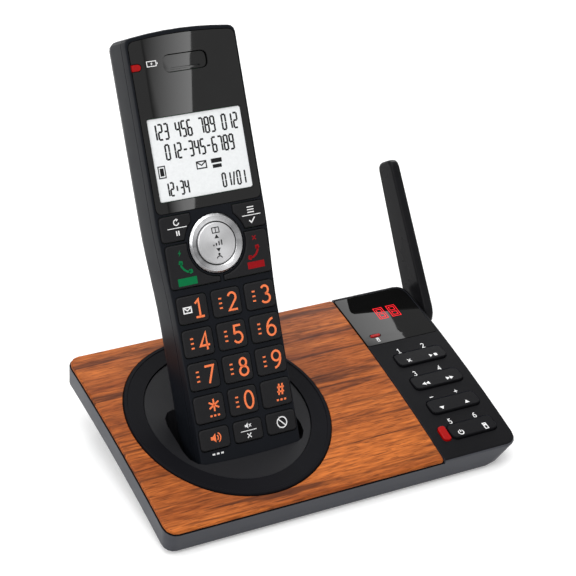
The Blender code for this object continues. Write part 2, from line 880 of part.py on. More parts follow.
def build_rockers(base):
    names = ["rocker_delete_play", "rocker_repeat_skip", "rocker_volume", "rocker_answer_find"]
    for row, name in enumerate(names):
        left, right, front, back = rocker_bounds(row)
        x, y = (left + right) / 2, (front + back) / 2
        frame = frame_at(name + "_pivot", base, (x, y, deck_z(y) - rocker_pivot_depth))
        slope = math.tan(deck_angle(y))

        def outline(inset):
            corner = rocker_corner - inset
            return rounded_outline(left - x + inset, right - x - inset, front - y + inset,
                                   back - y - inset, corner)

        mesh = bmesh.new()
        rounded_top(mesh, outline, -rocker_depth, rocker_proud, key_edge)
        for vertex in mesh.verts:
            if vertex.co.z > 0.0:
                share = (vertex.co.y - (front - y)) / (back - front)
                vertex.co.z -= share * (rocker_proud - rocker_back_proud)
            vertex.co.z += slope * vertex.co.y + rocker_pivot_depth
        rocker = place(name, mesh, "key", frame)
        mesh = bmesh.new()
        low = rocker_pivot_depth - rocker_depth - fulcrum_depth
        high = low + fulcrum_depth + fulcrum_root
        ridge = [(-fulcrum_width / 2, high), (-fulcrum_tip_width / 2, low), (fulcrum_tip_width / 2, low),
                 (fulcrum_width / 2, high)]
        reach = rocker_width / 2 - rocker_corner / 2
        loft(mesh, [[(a, end, b + slope * end) for a, b in ridge] for end in (-reach, reach)])
        combine(rocker, place("fulcrum", mesh, None, frame), "UNION")

    mesh = bmesh.new()
    rounded_top(mesh, light_outline, -cavity_top, light_proud, key_edge)
    drape(place("answer_light", mesh, "red", base))


def build_base_inside(base):
    y = 0.0
    x = half_width - board_from_right - board_width / 2
    mesh = bmesh.new()
    prism(mesh, rounded_outline(-board_width / 2, board_width / 2, -board_length / 2, board_length / 2,
                                case_edge, 1), -board_depth - board_thickness, -board_depth)
    place("base_circuit_board", mesh, "board", base, (x, y, deck_z(y)), (deck_angle(y), 0.0, 0.0))

    low = floor_top + gap
    body = speaker_height - speaker_magnet_height
    rim = floor_thickness
    mesh = bmesh.new()
    sections = [(speaker_radius, low), (speaker_radius, low + rim), (speaker_magnet_radius + rim, low + body),
                (speaker_magnet_radius, low + body), (speaker_magnet_radius, low + speaker_height)]
    loft(mesh, [level(circle_outline(speaker_x, speaker_y, radius, dial_steps), z) for radius, z in sections])
    place("base_speaker", mesh, "cone", base)


def build_sockets(base):
    line_x, power_x = socket_places()
    back = half_depth - tub_back_inset
    mesh = bmesh.new()
    socket_block(mesh, line_x, line_width, line_height, line_depth, 0.0)
    line = place("line_jack", mesh, "case", base)
    mesh = bmesh.new()
    mouth_low = socket_height - line_mouth_height / 2
    prism(mesh, rounded_outline(line_x - line_mouth_width / 2, line_x + line_mouth_width / 2,
                                back - line_mouth_depth, back + overrun, gap, 1),
          mouth_low, mouth_low + line_mouth_height)
    combine(line, place("line_mouth", mesh, None, base))
    mesh = bmesh.new()
    prism(mesh, rounded_outline(line_x - line_notch_width / 2, line_x + line_notch_width / 2,
                                back - line_mouth_depth + gap, back + overrun, gap, 1),
          mouth_low - line_notch_height / 2, mouth_low + line_notch_height / 2)
    combine(line, place("line_notch", mesh, None, base))

    mesh = bmesh.new()
    socket_block(mesh, power_x, power_width, power_width, power_depth, 0.0)
    power = place("power_jack", mesh, "case", base)
    mesh = bmesh.new()
    bore = circle_outline(power_x, socket_height, power_bore_radius, round_steps)
    pin = circle_outline(power_x, socket_height, power_pin_radius, round_steps)
    low = back - power_bore_depth
    sections = [(bore, low), (bore, back + overrun), (pin, back + overrun), (pin, low)]
    rings = [[mesh.verts.new((a, along, b)) for a, b in outline] for outline, along in sections]
    for index in range(len(rings)):
        this, other = rings[index], rings[(index + 1) % len(rings)]
        for corner in range(len(this)):
            following = (corner + 1) % len(this)
            mesh.faces.new((this[corner], this[following], other[following], other[corner]))
    combine(power, place("power_bore", mesh, None, base))


def build_aerial(base):
    x, y, z = aerial_place()
    frame = frame_at("aerial_pivot", base, (x + aerial_thickness / 2, y, z),
                     (math.radians(90 - aerial_lean), 0.0, 0.0))
    half = aerial_thickness / 2

    def outline(inset):
        points = []
        root = aerial_root_radius - inset
        for step in range(9):
            angle = math.radians(180 + 180 * step / 8)
            points.append((root * math.sin(angle), root * math.cos(angle)))
        tip = aerial_length - inset
        corner = aerial_tip_corner - inset / 2
        side = aerial_tip_half - inset
        for step in range(8):
            angle = math.radians(90 * (step if step < 4 else 7 - step) / 3)
            across = side - corner + corner * math.cos(angle)
            points.append((tip - corner + corner * math.sin(angle), across if step < 4 else -across))
        return points

    mesh = bmesh.new()
    turn = aerial_edge * (1 - math.cos(math.pi / 4))
    steps = [(aerial_edge, -half), (turn, -half + turn), (0.0, -half + aerial_edge),
             (0.0, half - aerial_edge), (turn, half - turn), (aerial_edge, half)]
    loft(mesh, [[(across, a, b) for a, b in outline(inset)] for inset, across in steps])
    aerial = place("antenna", mesh, "slate", frame)
    reach = aerial_thickness * pin_reach_share
    mesh = bmesh.new()
    rod(mesh, pin_radius + gap, -half - overrun, -half + reach + gap, 0.0, 0.0)
    combine(aerial, place("aerial_bore", mesh, None, frame))
    mesh = bmesh.new()
    rod(mesh, pin_radius, half_width - case_wall - pin_inside, x + reach, y, z)
    place("antenna_pin", mesh, "steel", base)


def handset_half(along):
    """Half width of the handset at a place along it: it narrows towards its foot."""
    share = min(max((along - taper_start) / (taper_end - taper_start), 0.0), 1.0)
    eased = share * share * (3 - 2 * share)
    return lower_half_width + (upper_half_width - lower_half_width) * eased


def handset_outline(inset):
    """Outline of the handset's face, anticlockwise from its lower right corner."""
    corner = max(handset_corner - inset / 2, least_corner)
    low = handset_end + inset
    high = handset_above - inset
    right = []
    for step in range(4):
        angle = math.radians(-90 + 90 * step / 3)
        right.append((lower_half_width - inset - corner + corner * math.cos(angle),
                      low + corner + corner * math.sin(angle)))
    for step in range(7):
        along = taper_start + (taper_end - taper_start) * step / 6
        right.append((handset_half(along) - inset, along))
    for step in range(4):
        angle = math.radians(90 * step / 3)
        right.append((upper_half_width - inset - corner + corner * math.cos(angle),
                      high - corner + corner * math.sin(angle)))
    flat = upper_half_width - inset - corner
    crown = [(flat * (1 - 2 * step / 6), high + crown_height * (1 - (1 - 2 * step / 6) ** 2))
             for step in range(1, 6)]
    left = [(-x, y) for x, y in reversed(right)]
    return right + crown + left


def build_handset_cases(frame):
    mesh = bmesh.new()
    quarter = math.pi / 4
    loft(mesh, [level(handset_outline(0.0), -seam_depth), level(handset_outline(0.0), -front_edge),
                level(handset_outline(front_edge * (1 - math.cos(quarter))),
                      -front_edge * (1 - math.sin(quarter))),
                level(handset_outline(front_edge), 0.0)])
    front = place("handset_front_case", mesh, "case", frame)
    mesh = bmesh.new()
    prism(mesh, handset_outline(shell_wall), -seam_depth - overrun, -face_wall)
    combine(front, place("front_space", mesh, None, frame))
    mesh = bmesh.new()
    prism(mesh, lens_outline(-gap), -lens_thickness - gap, overrun)
    combine(front, place("lens_rebate", mesh, None, frame))
    outlines = [outline(-key_gap) for outline in key_outlines().values()]
    outlines += [circle_outline(0.0, dial_middle, dial_inner_radius, dial_steps), lcd_outline(-gap),
                 earpiece_outline(-gap), charge_light_outline(-gap)]
    pierce(front, outlines, -face_wall - overrun, overrun, frame)
    mesh = bmesh.new()
    prism(mesh, circle_outline(0.0, dial_middle, dial_radius + gap, dial_steps), -dial_seat - gap, overrun)
    combine(front, place("dial_seat", mesh, None, frame))

    mesh = bmesh.new()
    loft(mesh, back_sections(0.0))
    back = place("handset_back_case", mesh, "slate", frame)
    mesh = bmesh.new()
    loft(mesh, back_sections(shell_wall))
    space = place("back_space", mesh, None, frame)
    mesh = bmesh.new()
    door_box(mesh, 0.0)
    door = place("battery_door", mesh, "slate", frame)
    combine(door, back, "INTERSECT", keep=True)
    combine(door, space, keep=True)
    combine(back, space)
    combine(back, battery_bay(frame), "UNION")
    mesh = bmesh.new()
    door_box(mesh, gap)
    combine(back, place("door_opening", mesh, None, frame))
    mesh = bmesh.new()
    for side in (-1, 1):
        prism(mesh, pad_outline(side * pad_half_pitch, -gap), handset_end - overrun,
              handset_end + pad_thickness + gap)
    combine(back, place("pad_seats", mesh, None, frame, rotation=(-math.pi / 2, 0.0, 0.0)))


def battery_bay(frame):
    """Floor and end walls of the battery's bay, reaching half way into the case's wall."""
    low = battery_low - gap
    high = battery_low + battery_length + gap
    mesh = bmesh.new()
    loft(mesh, back_sections(shell_wall / 2))
    bay = place("battery_bay", mesh, None, frame)
    mesh = bmesh.new()
    half = upper_half_width + overrun
    prism(mesh, [(-half, low - bay_wall), (half, low - bay_wall), (half, high + bay_wall),
                 (-half, high + bay_wall)], -handset_thickness - overrun, -bay_top)
    combine(bay, place("bay_block", mesh, None, frame), "INTERSECT")
    mesh = bmesh.new()
    prism(mesh, [(-half, low), (half, low), (half, high), (-half, high)],
          -handset_thickness - overrun, -bay_depth)
    combine(bay, place("bay_space", mesh, None, frame))
    return bay


def back_sections(inset):
    """Rings of the handset's rounded back, from the seam to its rearmost face."""
    start = seam_depth + gap
    sections = [level(handset_outline(inset), overrun - start if inset else -start),
                level(handset_outline(inset), -back_straight)]
    reach = handset_thickness - inset - back_straight
    for step in range(1, 5):
        angle = math.radians(90 * step / 4)
        sections.append(level(handset_outline(inset + back_round * (1 - math.cos(angle))),
                              -back_straight - reach * math.sin(angle)))
    return [list(reversed(section)) for section in sections]


def door_box(mesh, extra):
    half = upper_half_width + overrun
    prism(mesh, [(-half, door_low - extra), (half, door_low - extra),
                 (half, door_high + extra), (-half, door_high + extra)],
          -handset_thickness - overrun, -door_depth + extra)


def lens_outline(inset):
    half = upper_half_width - lens_margin - inset
    high = lens_top - inset
    corner = lens_corner - inset
    outline = rounded_outline(-half, half, lens_bottom + inset, high, corner)
    top_start = high - corner
    lifted = []
    for x, y in outline:
        rise = crown_height * (1 - (x / half) ** 2) if y > top_start else 0.0
        lifted.append((x, y + rise))
    place_after = max(index for index, (x, y) in enumerate(outline) if x > 0 and y > top_start)
    flat = half - corner
    crown = [(flat * (1 - 2 * step / 6), high + crown_height * (1 - (flat * (1 - 2 * step / 6) / half) ** 2))
             for step in range(1, 6)]
    return lifted[:place_after + 1] + crown + lifted[place_after + 1:]


def lcd_outline(inset):
    return rounded_outline(-lcd_width / 2 + inset, lcd_width / 2 - inset, lcd_middle - lcd_height / 2 + inset,
                           lcd_middle + lcd_height / 2 - inset, lcd_corner, 1)


def earpiece_outline(inset):
    return rounded_outline(-earpiece_width / 2 + inset, earpiece_width / 2 - inset,
                           earpiece_middle - earpiece_height / 2 + inset,
                           earpiece_middle + earpiece_height / 2 - inset, earpiece_corner - inset, 3)


def charge_light_outline(inset):
    left = -upper_half_width + lens_margin
    right = left + charge_light_length
    round_end = charge_light_height / 2 - inset
    return rounded_outline(left + inset, right - inset, earpiece_middle - charge_light_height / 2 + inset,
                           earpiece_middle + charge_light_height / 2 - inset,
                           [round_end, round_end, gap, gap], 3)


def build_face(frame):
    mesh = bmesh.new()
    prism(mesh, lens_outline(0.0), -lens_thickness, 0.0)
    lens = place("handset_lens", mesh, "gloss", frame)
    mesh = bmesh.new()
    prism(mesh, lcd_outline(-gap), -lens_thickness - overrun, overrun)
    prism(mesh, earpiece_outline(-gap), -lens_thickness - overrun, overrun)
    prism(mesh, charge_light_outline(-gap), -lens_thickness - overrun, overrun)
    combine(lens, place("lens_openings", mesh, None, frame))

    mesh = bmesh.new()
    prism(mesh, lcd_outline(0.0), -lcd_drop - lcd_thickness, -lcd_drop)
    place("lcd_screen", mesh, "screen", frame)

    mesh = bmesh.new()
    prism(mesh, earpiece_outline(0.0), -earpiece_drop - earpiece_thickness, -earpiece_drop)
    earpiece = place("earpiece", mesh, "gloss", frame)
    low = earpiece_middle - earpiece_height / 2 + earpiece_slot_margin
    mesh = bmesh.new()
    slot = rounded_outline(-earpiece_slot_length / 2, earpiece_slot_length / 2, low,
                           low + earpiece_slot_width, gap, 2)
    prism(mesh, slot, -earpiece_drop - earpiece_slot_depth, overrun)
    combine(earpiece, place("earpiece_slot", mesh, None, frame))

    mesh = bmesh.new()
    prism(mesh, charge_light_outline(0.0), -face_wall, 0.0)
    place("charge_light", mesh, "red", frame)


def key_rectangle(left, right, y, height):
    def outline(inset):
        return rounded_outline(left + inset, right - inset, y - height / 2 + inset,
                               y + height / 2 - inset, key_corner - inset, 2)
    return outline


def arc_key(side, low, high, inner, clearance):
    """A key beside the dial, whose inner end follows a circle round the dial's middle."""
    def outline(inset):
        right = handset_half((low + high) / 2) - side_margin - inset
        bottom, top = low + inset, high - inset
        radius = dial_radius + clearance + inset
        near = inner + inset
        corner = key_corner - inset
        points = rounded_outline(near, right, bottom, top, [corner, corner, corner, corner], 2)[:6]
        limit = math.acos(min(near / radius, 1.0))
        rise = math.asin(max(min((top - dial_middle) / radius, 1.0), -1.0))
        fall = math.asin(max(min((bottom - dial_middle) / radius, 1.0), -1.0))
        start, end = min(rise, limit), max(fall, -limit)
        points.append((near if rise > limit else radius * math.cos(start), top))
        for step in range(9):
            angle = start + (end - start) * step / 8
            points.append((radius * math.cos(angle), dial_middle + radius * math.sin(angle)))
        points.append((near if fall < -limit else radius * math.cos(end), bottom))
        if side < 0:
            points = [(-x, y) for x, y in reversed(points)]
        return points
    return outline


def key_outlines():
    """Name and outline of every pressed key of the handset, from the top down."""
    keys = {
        "key_redial": arc_key(-1, soft_key_low, soft_key_high, soft_key_inner, soft_key_clearance),
        "key_menu": arc_key(1, soft_key_low, soft_key_high, soft_key_inner, soft_key_clearance),
        "key_phone": arc_key(-1, call_key_low, call_key_high, call_key_inner, call_key_clearance),
        "key_off": arc_key(1, call_key_low, call_key_high, call_key_inner, call_key_clearance),
    }
    rows = [["key_1", "key_2", "key_3"], ["key_4", "key_5", "key_6"], ["key_7", "key_8", "key_9"],
            ["key_star", "key_0", "key_pound"]]
    for row, names in enumerate(rows):
        for (left, right), name in zip(keypad_columns, names):
            keys[name] = key_rectangle(left, right, first_figures - row * key_pitch_y, key_height)
    for (left, right), name in zip(keypad_columns, ["key_speaker", "key_mute", "key_call_block"]):
        keys[name] = key_rectangle(left, right, last_row_middle, last_row_height)
    return keys


def build_keys(frame):
    for name, outline in key_outlines().items():
        points = outline(0.0)
        x = sum(point[0] for point in points) / len(points)
        y = sum(point[1] for point in points) / len(points)

        def moved(inset):
            return [(a - x, b - y) for a, b in outline(inset)]

        mesh = bmesh.new()
        loft(mesh, [level(moved(0.0), -key_depth), level(moved(0.0), key_proud - key_edge),
                    level(moved(key_edge), key_proud)])
        place(name, mesh, "key", frame, (x, y, 0.0))

    mesh = bmesh.new()
    turned(mesh, [(dial_radius, -dial_seat), (dial_radius, dial_proud - dial_bevel),
                  (dial_radius - dial_bevel, dial_proud),
                  (dial_inner_radius + dial_bevel, dial_proud - key_edge),
                  (dial_inner_radius, dial_proud - dial_bevel), (dial_inner_radius, -dial_seat)],
           0.0, dial_middle, dial_steps)
    place("nav_trim_ring", mesh, "silver", frame)

    radius = dial_inner_radius - disc_gap
    hub = radius - disc_gap
    mesh = bmesh.new()
    sections = [(hub, -key_depth), (hub, -face_wall / 2), (radius, -face_wall / 2),
                (radius, disc_proud - key_edge), (radius - key_edge, disc_proud),
                (radius / 2, disc_proud + disc_dome)]
    loft(mesh, [level(circle_outline(0.0, 0.0, size, dial_steps), z) for size, z in sections])
    place("nav_rocker", mesh, "silver", frame, (0.0, dial_middle, 0.0))


def build_handset_inside(frame):
    mesh = bmesh.new()
    prism(mesh, rounded_outline(-hand_board_half_width, hand_board_half_width, hand_board_low,
                                hand_board_high, key_corner, 1),
          -hand_board_depth - hand_board_thickness, -hand_board_depth)
    place("handset_circuit_board", mesh, "board", frame)

    mesh = bmesh.new()
    outline = []
    for side, start in ((1, -90), (-1, 90)):
        for step in range(9):
            angle = math.radians(start + 180 * step / 8)
            outline.append((side * cell_pitch / 2 + battery_radius * math.cos(angle),
                            battery_radius * math.sin(angle) - battery_depth))
    high = battery_low + battery_length
    loft(mesh, [[(a, along, b) for a, b in reversed(outline)] for along in (battery_low, high)])
    place("battery_pack", mesh, "cell", frame)


def stand(root):
    """Move the whole part so that the middle of its footprint lies at the origin."""
    bpy.context.view_layer.update()
    points = [piece.matrix_world @ vertex.co for piece in bpy.data.objects
              if piece.type == "MESH" for vertex in piece.data.vertices]
    low = [min(point[axis] for point in points) for axis in range(3)]
    high = [max(point[axis] for point in points) for axis in range(3)]
    root.location = (-(low[0] + high[0]) / 2, -(low[1] + high[1]) / 2, -low[2])


def main():
    for piece in list(bpy.data.objects):
        bpy.data.objects.remove(piece)
    base = frame_at("base_frame", None, (0.0, 0.0, 0.0))
    dock_y = ring_y - dock_from_centre
    handset_frame = frame_at("handset_frame", base, (ring_x, dock_y, deck_z(dock_y) - dock_depth),
                             (math.radians(90 - handset_lean), 0.0, 0.0))
    build_top_case(base)
    build_wood(base)
    build_ring(base)
    build_cup(base, handset_frame)
    build_bottom_case(base)
    build_feet(base)
    build_window(base)
    build_rockers(base)
    build_base_inside(base)
    build_sockets(base)
    build_aerial(base)
    build_handset_cases(handset_frame)
    build_face(handset_frame)
    build_keys(handset_frame)
    build_handset_inside(handset_frame)
    build_contacts(handset_frame)
    stand(base)


main()
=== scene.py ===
# Cordless answering machine: finishes, printed figures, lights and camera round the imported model.
# Lengths are in metres and angles in degrees. X runs along the base, Y to its back, Z up.
import json
import math

import bmesh
import bpy
from mathutils import Matrix, Vector
from mathutils.bvhtree import BVHTree


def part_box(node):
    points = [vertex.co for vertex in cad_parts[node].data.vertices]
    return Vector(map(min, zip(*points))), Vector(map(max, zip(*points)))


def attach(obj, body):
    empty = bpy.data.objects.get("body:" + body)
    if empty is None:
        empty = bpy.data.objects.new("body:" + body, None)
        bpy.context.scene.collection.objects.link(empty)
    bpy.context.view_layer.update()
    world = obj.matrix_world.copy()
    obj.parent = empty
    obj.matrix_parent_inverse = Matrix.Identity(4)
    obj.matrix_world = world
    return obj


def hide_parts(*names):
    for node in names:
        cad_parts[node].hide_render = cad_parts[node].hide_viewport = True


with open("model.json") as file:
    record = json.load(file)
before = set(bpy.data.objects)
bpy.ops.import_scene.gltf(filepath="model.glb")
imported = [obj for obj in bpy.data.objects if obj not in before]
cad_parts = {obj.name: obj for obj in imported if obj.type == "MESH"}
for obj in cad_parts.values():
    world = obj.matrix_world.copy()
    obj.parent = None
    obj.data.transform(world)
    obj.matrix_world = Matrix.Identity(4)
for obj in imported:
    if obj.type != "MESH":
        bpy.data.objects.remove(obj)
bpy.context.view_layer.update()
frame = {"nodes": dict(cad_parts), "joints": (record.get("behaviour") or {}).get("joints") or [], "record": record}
nodes = frame["nodes"]
joints = {joint["name"]: joint for joint in frame["joints"]}
bodyOf = {node: body for body, members in frame["record"]["behaviour"]["bodies"].items() for node in members}
print("frame loaded:", len(nodes), "nodes")

# The handset's own directions: across, up along it and out of its face, from the dial's middle
handsetUp = Vector(joints["handset_lift"]["axis"])
handsetOut = Vector((1.0, 0.0, 0.0)).cross(handsetUp)
dialMiddle = Vector(joints["nav_rock"]["pos_m"])
handsetTurn = Matrix(((1.0, 0.0, 0.0), handsetUp, handsetOut)).transposed().to_4x4()
handsetPlace = Matrix.Translation(dialMiddle) @ handsetTurn
basePlace = Matrix.Identity(4)  # the base's faces are read in the world's own directions

millimetre = 0.001
copyWork = {"merge": 0.000002, "flatAngle": 0.6, "edgeAngle": 28, "segments": 2, "shadeAngle": 40}


def middleOf(node):
    low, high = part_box(node)
    return (low + high) / 2


def localBox(node, place):
    # a node's corners in the directions of a place
    back = place.inverted()
    points = [back @ vertex.co for vertex in nodes[node].data.vertices]
    low = Vector([min(point[axis] for point in points) for axis in range(3)])
    high = Vector([max(point[axis] for point in points) for axis in range(3)])
    return low, high


def meshObject(name, mesh, materials):
    data = bpy.data.meshes.new(name)
    mesh.to_mesh(data)
    mesh.free()
    for material in materials:
        data.materials.append(material)
    made = bpy.data.objects.new(name, data)
    bpy.context.scene.collection.objects.link(made)
    return made


def addPiece(name, mesh, materials, body):
    piece = meshObject(name, mesh, materials)
    piece.data.shade_smooth()
    piece.data.set_sharp_from_angle(angle=math.radians(copyWork["shadeAngle"]))
    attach(piece, body)
    return piece


def mergedCopy(node):
    mesh = bmesh.new()
    mesh.from_mesh(nodes[node].data)
    bmesh.ops.remove_doubles(mesh, verts=mesh.verts, dist=copyWork["merge"])
    bmesh.ops.dissolve_limit(mesh, angle_limit=math.radians(copyWork["flatAngle"]), verts=mesh.verts,
                             edges=mesh.edges)
    return mesh


def roundEdges(mesh, width):
    sharp = math.radians(copyWork["edgeAngle"])
    edges = [edge for edge in mesh.edges if len(edge.link_faces) == 2 and edge.calc_face_angle(0.0) > sharp]
    bmesh.ops.bevel(mesh, geom=edges, offset=width, offset_type="OFFSET", segments=copyWork["segments"],
                    profile=0.5, affect="EDGES", clamp_overlap=True, material=-1)


def finishedCopy(node, material, width):
    # a CAD node's shape with its edges eased
    mesh = mergedCopy(node)
    if width:
        roundEdges(mesh, width)
    piece = addPiece(node + "_finished", mesh, [material], bodyOf[node])
    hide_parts(node)
    modifier = piece.modifiers.new("evenNormals", "WEIGHTED_NORMAL")
    modifier.keep_sharp = True


def addNode(tree, kind, values=(), **settings):
    node = tree.nodes.new(kind)
    for label, value in settings.items():
        setattr(node, label, value)
    for label, value in dict(values).items():
        node.inputs[label].default_value = value
    return node


def makeGrainGroup():
    # moulded plastic: a fine pebble for bump and a slow tone for colour and gloss
    group = bpy.data.node_groups.new("mouldedGrain", "ShaderNodeTree")
    for label, value in (("Fineness", 4000.0), ("Patch", 60.0)):
        socket = group.interface.new_socket(label, in_out="INPUT", socket_type="NodeSocketFloat")
        socket.default_value = value
    for label in ("Height", "Tone"):
        group.interface.new_socket(label, in_out="OUTPUT", socket_type="NodeSocketFloat")
    source = addNode(group, "NodeGroupInput")
    result = addNode(group, "NodeGroupOutput")
    place = addNode(group, "ShaderNodeTexCoord")
    pebble = addNode(group, "ShaderNodeTexNoise", {"Detail": 2.0, "Roughness": 0.6})
    patch = addNode(group, "ShaderNodeTexNoise", {"Detail": 3.0, "Roughness": 0.55})
    group.links.new(place.outputs["Object"], pebble.inputs["Vector"])
    group.links.new(place.outputs["Object"], patch.inputs["Vector"])
    group.links.new(source.outputs["Fineness"], pebble.inputs["Scale"])
    group.links.new(source.outputs["Patch"], patch.inputs["Scale"])
    group.links.new(pebble.outputs["Fac"], result.inputs["Height"])
    group.links.new(patch.outputs["Fac"], result.inputs["Tone"])
    return group


grainGroup = makeGrainGroup()


def newMaterial(name):
    material = bpy.data.materials.new(name)
    material.use_nodes = True
    tree = material.node_tree
    return material, tree, tree.nodes["Principled BSDF"]


def blendColours(tree, factor, first, second, blend="MIX"):
    # each of the three is a socket or a fixed value, and the mix's sockets 6 and 7 take the colours
    mix = addNode(tree, "ShaderNodeMix", data_type="RGBA", blend_type=blend)
    for index, value in ((0, factor), (6, first), (7, second)):
        if isinstance(value, bpy.types.NodeSocket):
            tree.links.new(value, mix.inputs[index])
        else:
            mix.inputs[index].default_value = (*value, 1.0) if index else value
    return mix.outputs[2]


def rescale(tree, value, low, high, fromLow=0.3, fromHigh=0.7):
    node = addNode(tree, "ShaderNodeMapRange", {"From Min": fromLow, "From Max": fromHigh, "To Min": low,
                                                "To Max": high})
    tree.links.new(value, node.inputs["Value"])
    return node.outputs["Result"]


def addBump(tree, shader, height, strength, depth):
    bump = addNode(tree, "ShaderNodeBump", {"Strength": strength, "Distance": depth})
    tree.links.new(height, bump.inputs["Height"])
    tree.links.new(bump.outputs["Normal"], shader.inputs["Normal"])


def grained(name, dark, light, roughLow, roughHigh, depth=0.00002, specular=0.5, metallic=0.0,
            fineness=4000.0):
    # plastic, rubber or plain metal, whose pebble has that depth
    material, tree, shader = newMaterial(name)
    grain = addNode(tree, "ShaderNodeGroup", node_tree=grainGroup)
    grain.inputs["Fineness"].default_value = fineness
    tree.links.new(blendColours(tree, grain.outputs["Tone"], dark, light), shader.inputs["Base Color"])
    tree.links.new(rescale(tree, grain.outputs["Tone"], roughLow, roughHigh), shader.inputs["Roughness"])
    if depth:
        addBump(tree, shader, grain.outputs["Height"], 0.4, depth)
    shader.inputs["Specular IOR Level"].default_value = specular
    shader.inputs["Metallic"].default_value = metallic
    return material


def woodFoil():
    # printed foil: slow bands, wavy dark streaks, fine fibres and short pores, all along X
    # a layer's numbers are its scale along and across the grain, its detail and its waviness,
    # and a mask's are what it goes from and to, and between which values of its layer
    look = {"shadow": (0.050, 0.009, 0.0018), "middle": (0.220, 0.047, 0.0075), "light": (0.51, 0.140, 0.026),
            "fibreDark": (0.52, 0.45, 0.38), "fibreLight": (1.20, 1.20, 1.20), "pore": (0.07, 0.018, 0.005),
            "bands": (6.0, 62.0, 4.0, 0.9), "streaks": (11.0, 210.0, 5.0, 1.4),
            "fibres": (110.0, 1150.0, 3.0, 0.5), "pores": (160.0, 2600.0, 1.0, 0.0),
            "bandMask": (0.0, 1.0, 0.32, 0.66), "streakMask": (0.80, 0.0, 0.34, 0.47),
            "poreMask": (0.0, 0.7, 0.60, 0.68), "rough": (0.50, 0.38), "bump": (0.25, 0.00004)}
    material, tree, shader = newMaterial("woodFoil")
    place = addNode(tree, "ShaderNodeTexCoord")

    def layer(name):
        along, across, detail, waviness = look[name]
        mapping = addNode(tree, "ShaderNodeMapping", {"Scale": (along, across, across)})
        tree.links.new(place.outputs["Object"], mapping.inputs["Vector"])
        noise = addNode(tree, "ShaderNodeTexNoise", {"Scale": 1.0, "Detail": detail, "Distortion": waviness})
        tree.links.new(mapping.outputs["Vector"], noise.inputs["Vector"])
        return noise.outputs["Fac"]

    fibres = layer("fibres")
    bands = rescale(tree, layer("bands"), *look["bandMask"])
    tone = blendColours(tree, bands, look["middle"], look["light"])
    tone = blendColours(tree, rescale(tree, layer("streaks"), *look["streakMask"]), tone, look["shadow"])
    fibreTone = blendColours(tree, rescale(tree, fibres, 0.0, 1.0), look["fibreDark"], look["fibreLight"])
    tone = blendColours(tree, 1.0, tone, fibreTone, "MULTIPLY")
    tone = blendColours(tree, rescale(tree, layer("pores"), *look["poreMask"]), tone, look["pore"])
    tree.links.new(tone, shader.inputs["Base Color"])
    tree.links.new(rescale(tree, fibres, *look["rough"]), shader.inputs["Roughness"])
    addBump(tree, shader, fibres, *look["bump"])
    shader.inputs["Specular IOR Level"].default_value = 0.12
    return material


def spunMetal(name, dark, light, roughLow, roughHigh, metallic, paintedWedgeDepth):
    # turned metal round the dial's axis: fine rings, and painted highlight and shade that swing from light to dark
    # twice a turn
    look = {"paintedHighlightAngle": 115, "paintedSheen": (0.12, 0.78), "rings": 5200.0, "ringTone": 0.10, "paintedWedges": 1.8}
    material, tree, shader = newMaterial(name)
    place = addNode(tree, "ShaderNodeTexCoord")
    mapping = addNode(tree, "ShaderNodeMapping", vector_type="TEXTURE")
    mapping.inputs["Location"].default_value = dialMiddle
    mapping.inputs["Rotation"].default_value = handsetPlace.to_euler()
    tree.links.new(place.outputs["Object"], mapping.inputs["Vector"])
    parts = addNode(tree, "ShaderNodeSeparateXYZ")
    tree.links.new(mapping.outputs["Vector"], parts.inputs["Vector"])

    def maths(operation, first, second=None, value=0.0):
        node = addNode(tree, "ShaderNodeMath", operation=operation)
        tree.links.new(first, node.inputs[0])
        if second is None:
            node.inputs[1].default_value = value
        else:
            tree.links.new(second, node.inputs[1])
        return node.outputs["Value"]

    def unevenness(value, scale, detail):
        noise = addNode(tree, "ShaderNodeTexNoise", {"Scale": scale, "Detail": detail}, noise_dimensions="1D")
        tree.links.new(value, noise.inputs["W"])
        return noise.outputs["Fac"]

    # painted highlight and painted shade: the colour swings with the angle round the dial, broken up by uneven
    # painted wedges
    angle = maths("ARCTAN2", parts.outputs["Y"], parts.outputs["X"])
    fromPaintedHighlight = maths("SUBTRACT", angle, value=math.radians(look["paintedHighlightAngle"]))
    paintedSheen = maths("COSINE", maths("MULTIPLY", fromPaintedHighlight, value=2.0))
    flat = addNode(tree, "ShaderNodeVectorMath", {1: (1.0, 1.0, 0.0)}, operation="MULTIPLY")
    tree.links.new(mapping.outputs["Vector"], flat.inputs[0])
    radius = addNode(tree, "ShaderNodeVectorMath", operation="LENGTH")
    tree.links.new(flat.outputs["Vector"], radius.inputs[0])
    rings = unevenness(radius.outputs["Value"], look["rings"], 2.0)
    paintedWedges = unevenness(angle, look["paintedWedges"], 3.0)
    tone = maths("ADD", rescale(tree, paintedSheen, *look["paintedSheen"], -1.0, 1.0),
                 rescale(tree, rings, -look["ringTone"], look["ringTone"]))
    tone = maths("ADD", tone, rescale(tree, paintedWedges, -paintedWedgeDepth, paintedWedgeDepth))
    # the colour runs from dark to light with the painted sheen; only the fine turning rings are the metal's own
    tree.links.new(blendColours(tree, tone, dark, light), shader.inputs["Base Color"])
    tree.links.new(rescale(tree, rings, roughLow, roughHigh), shader.inputs["Roughness"])
    addBump(tree, shader, rings, 0.3, 0.00001)
    shader.inputs["Metallic"].default_value = metallic
    return material


def lampLens(name, dark, light, glow, strength):
    material, tree, shader = newMaterial(name)
    grain = addNode(tree, "ShaderNodeGroup", node_tree=grainGroup)
    grain.inputs["Patch"].default_value = 400.0
    tree.links.new(blendColours(tree, grain.outputs["Tone"], dark, light), shader.inputs["Base Color"])
    tree.links.new(blendColours(tree, grain.outputs["Tone"], glow, light), shader.inputs["Emission Color"])
    shader.inputs["Emission Strength"].default_value = strength
    shader.inputs["Roughness"].default_value = 0.22
    shader.inputs["Specular IOR Level"].default_value = 0.12
    return material


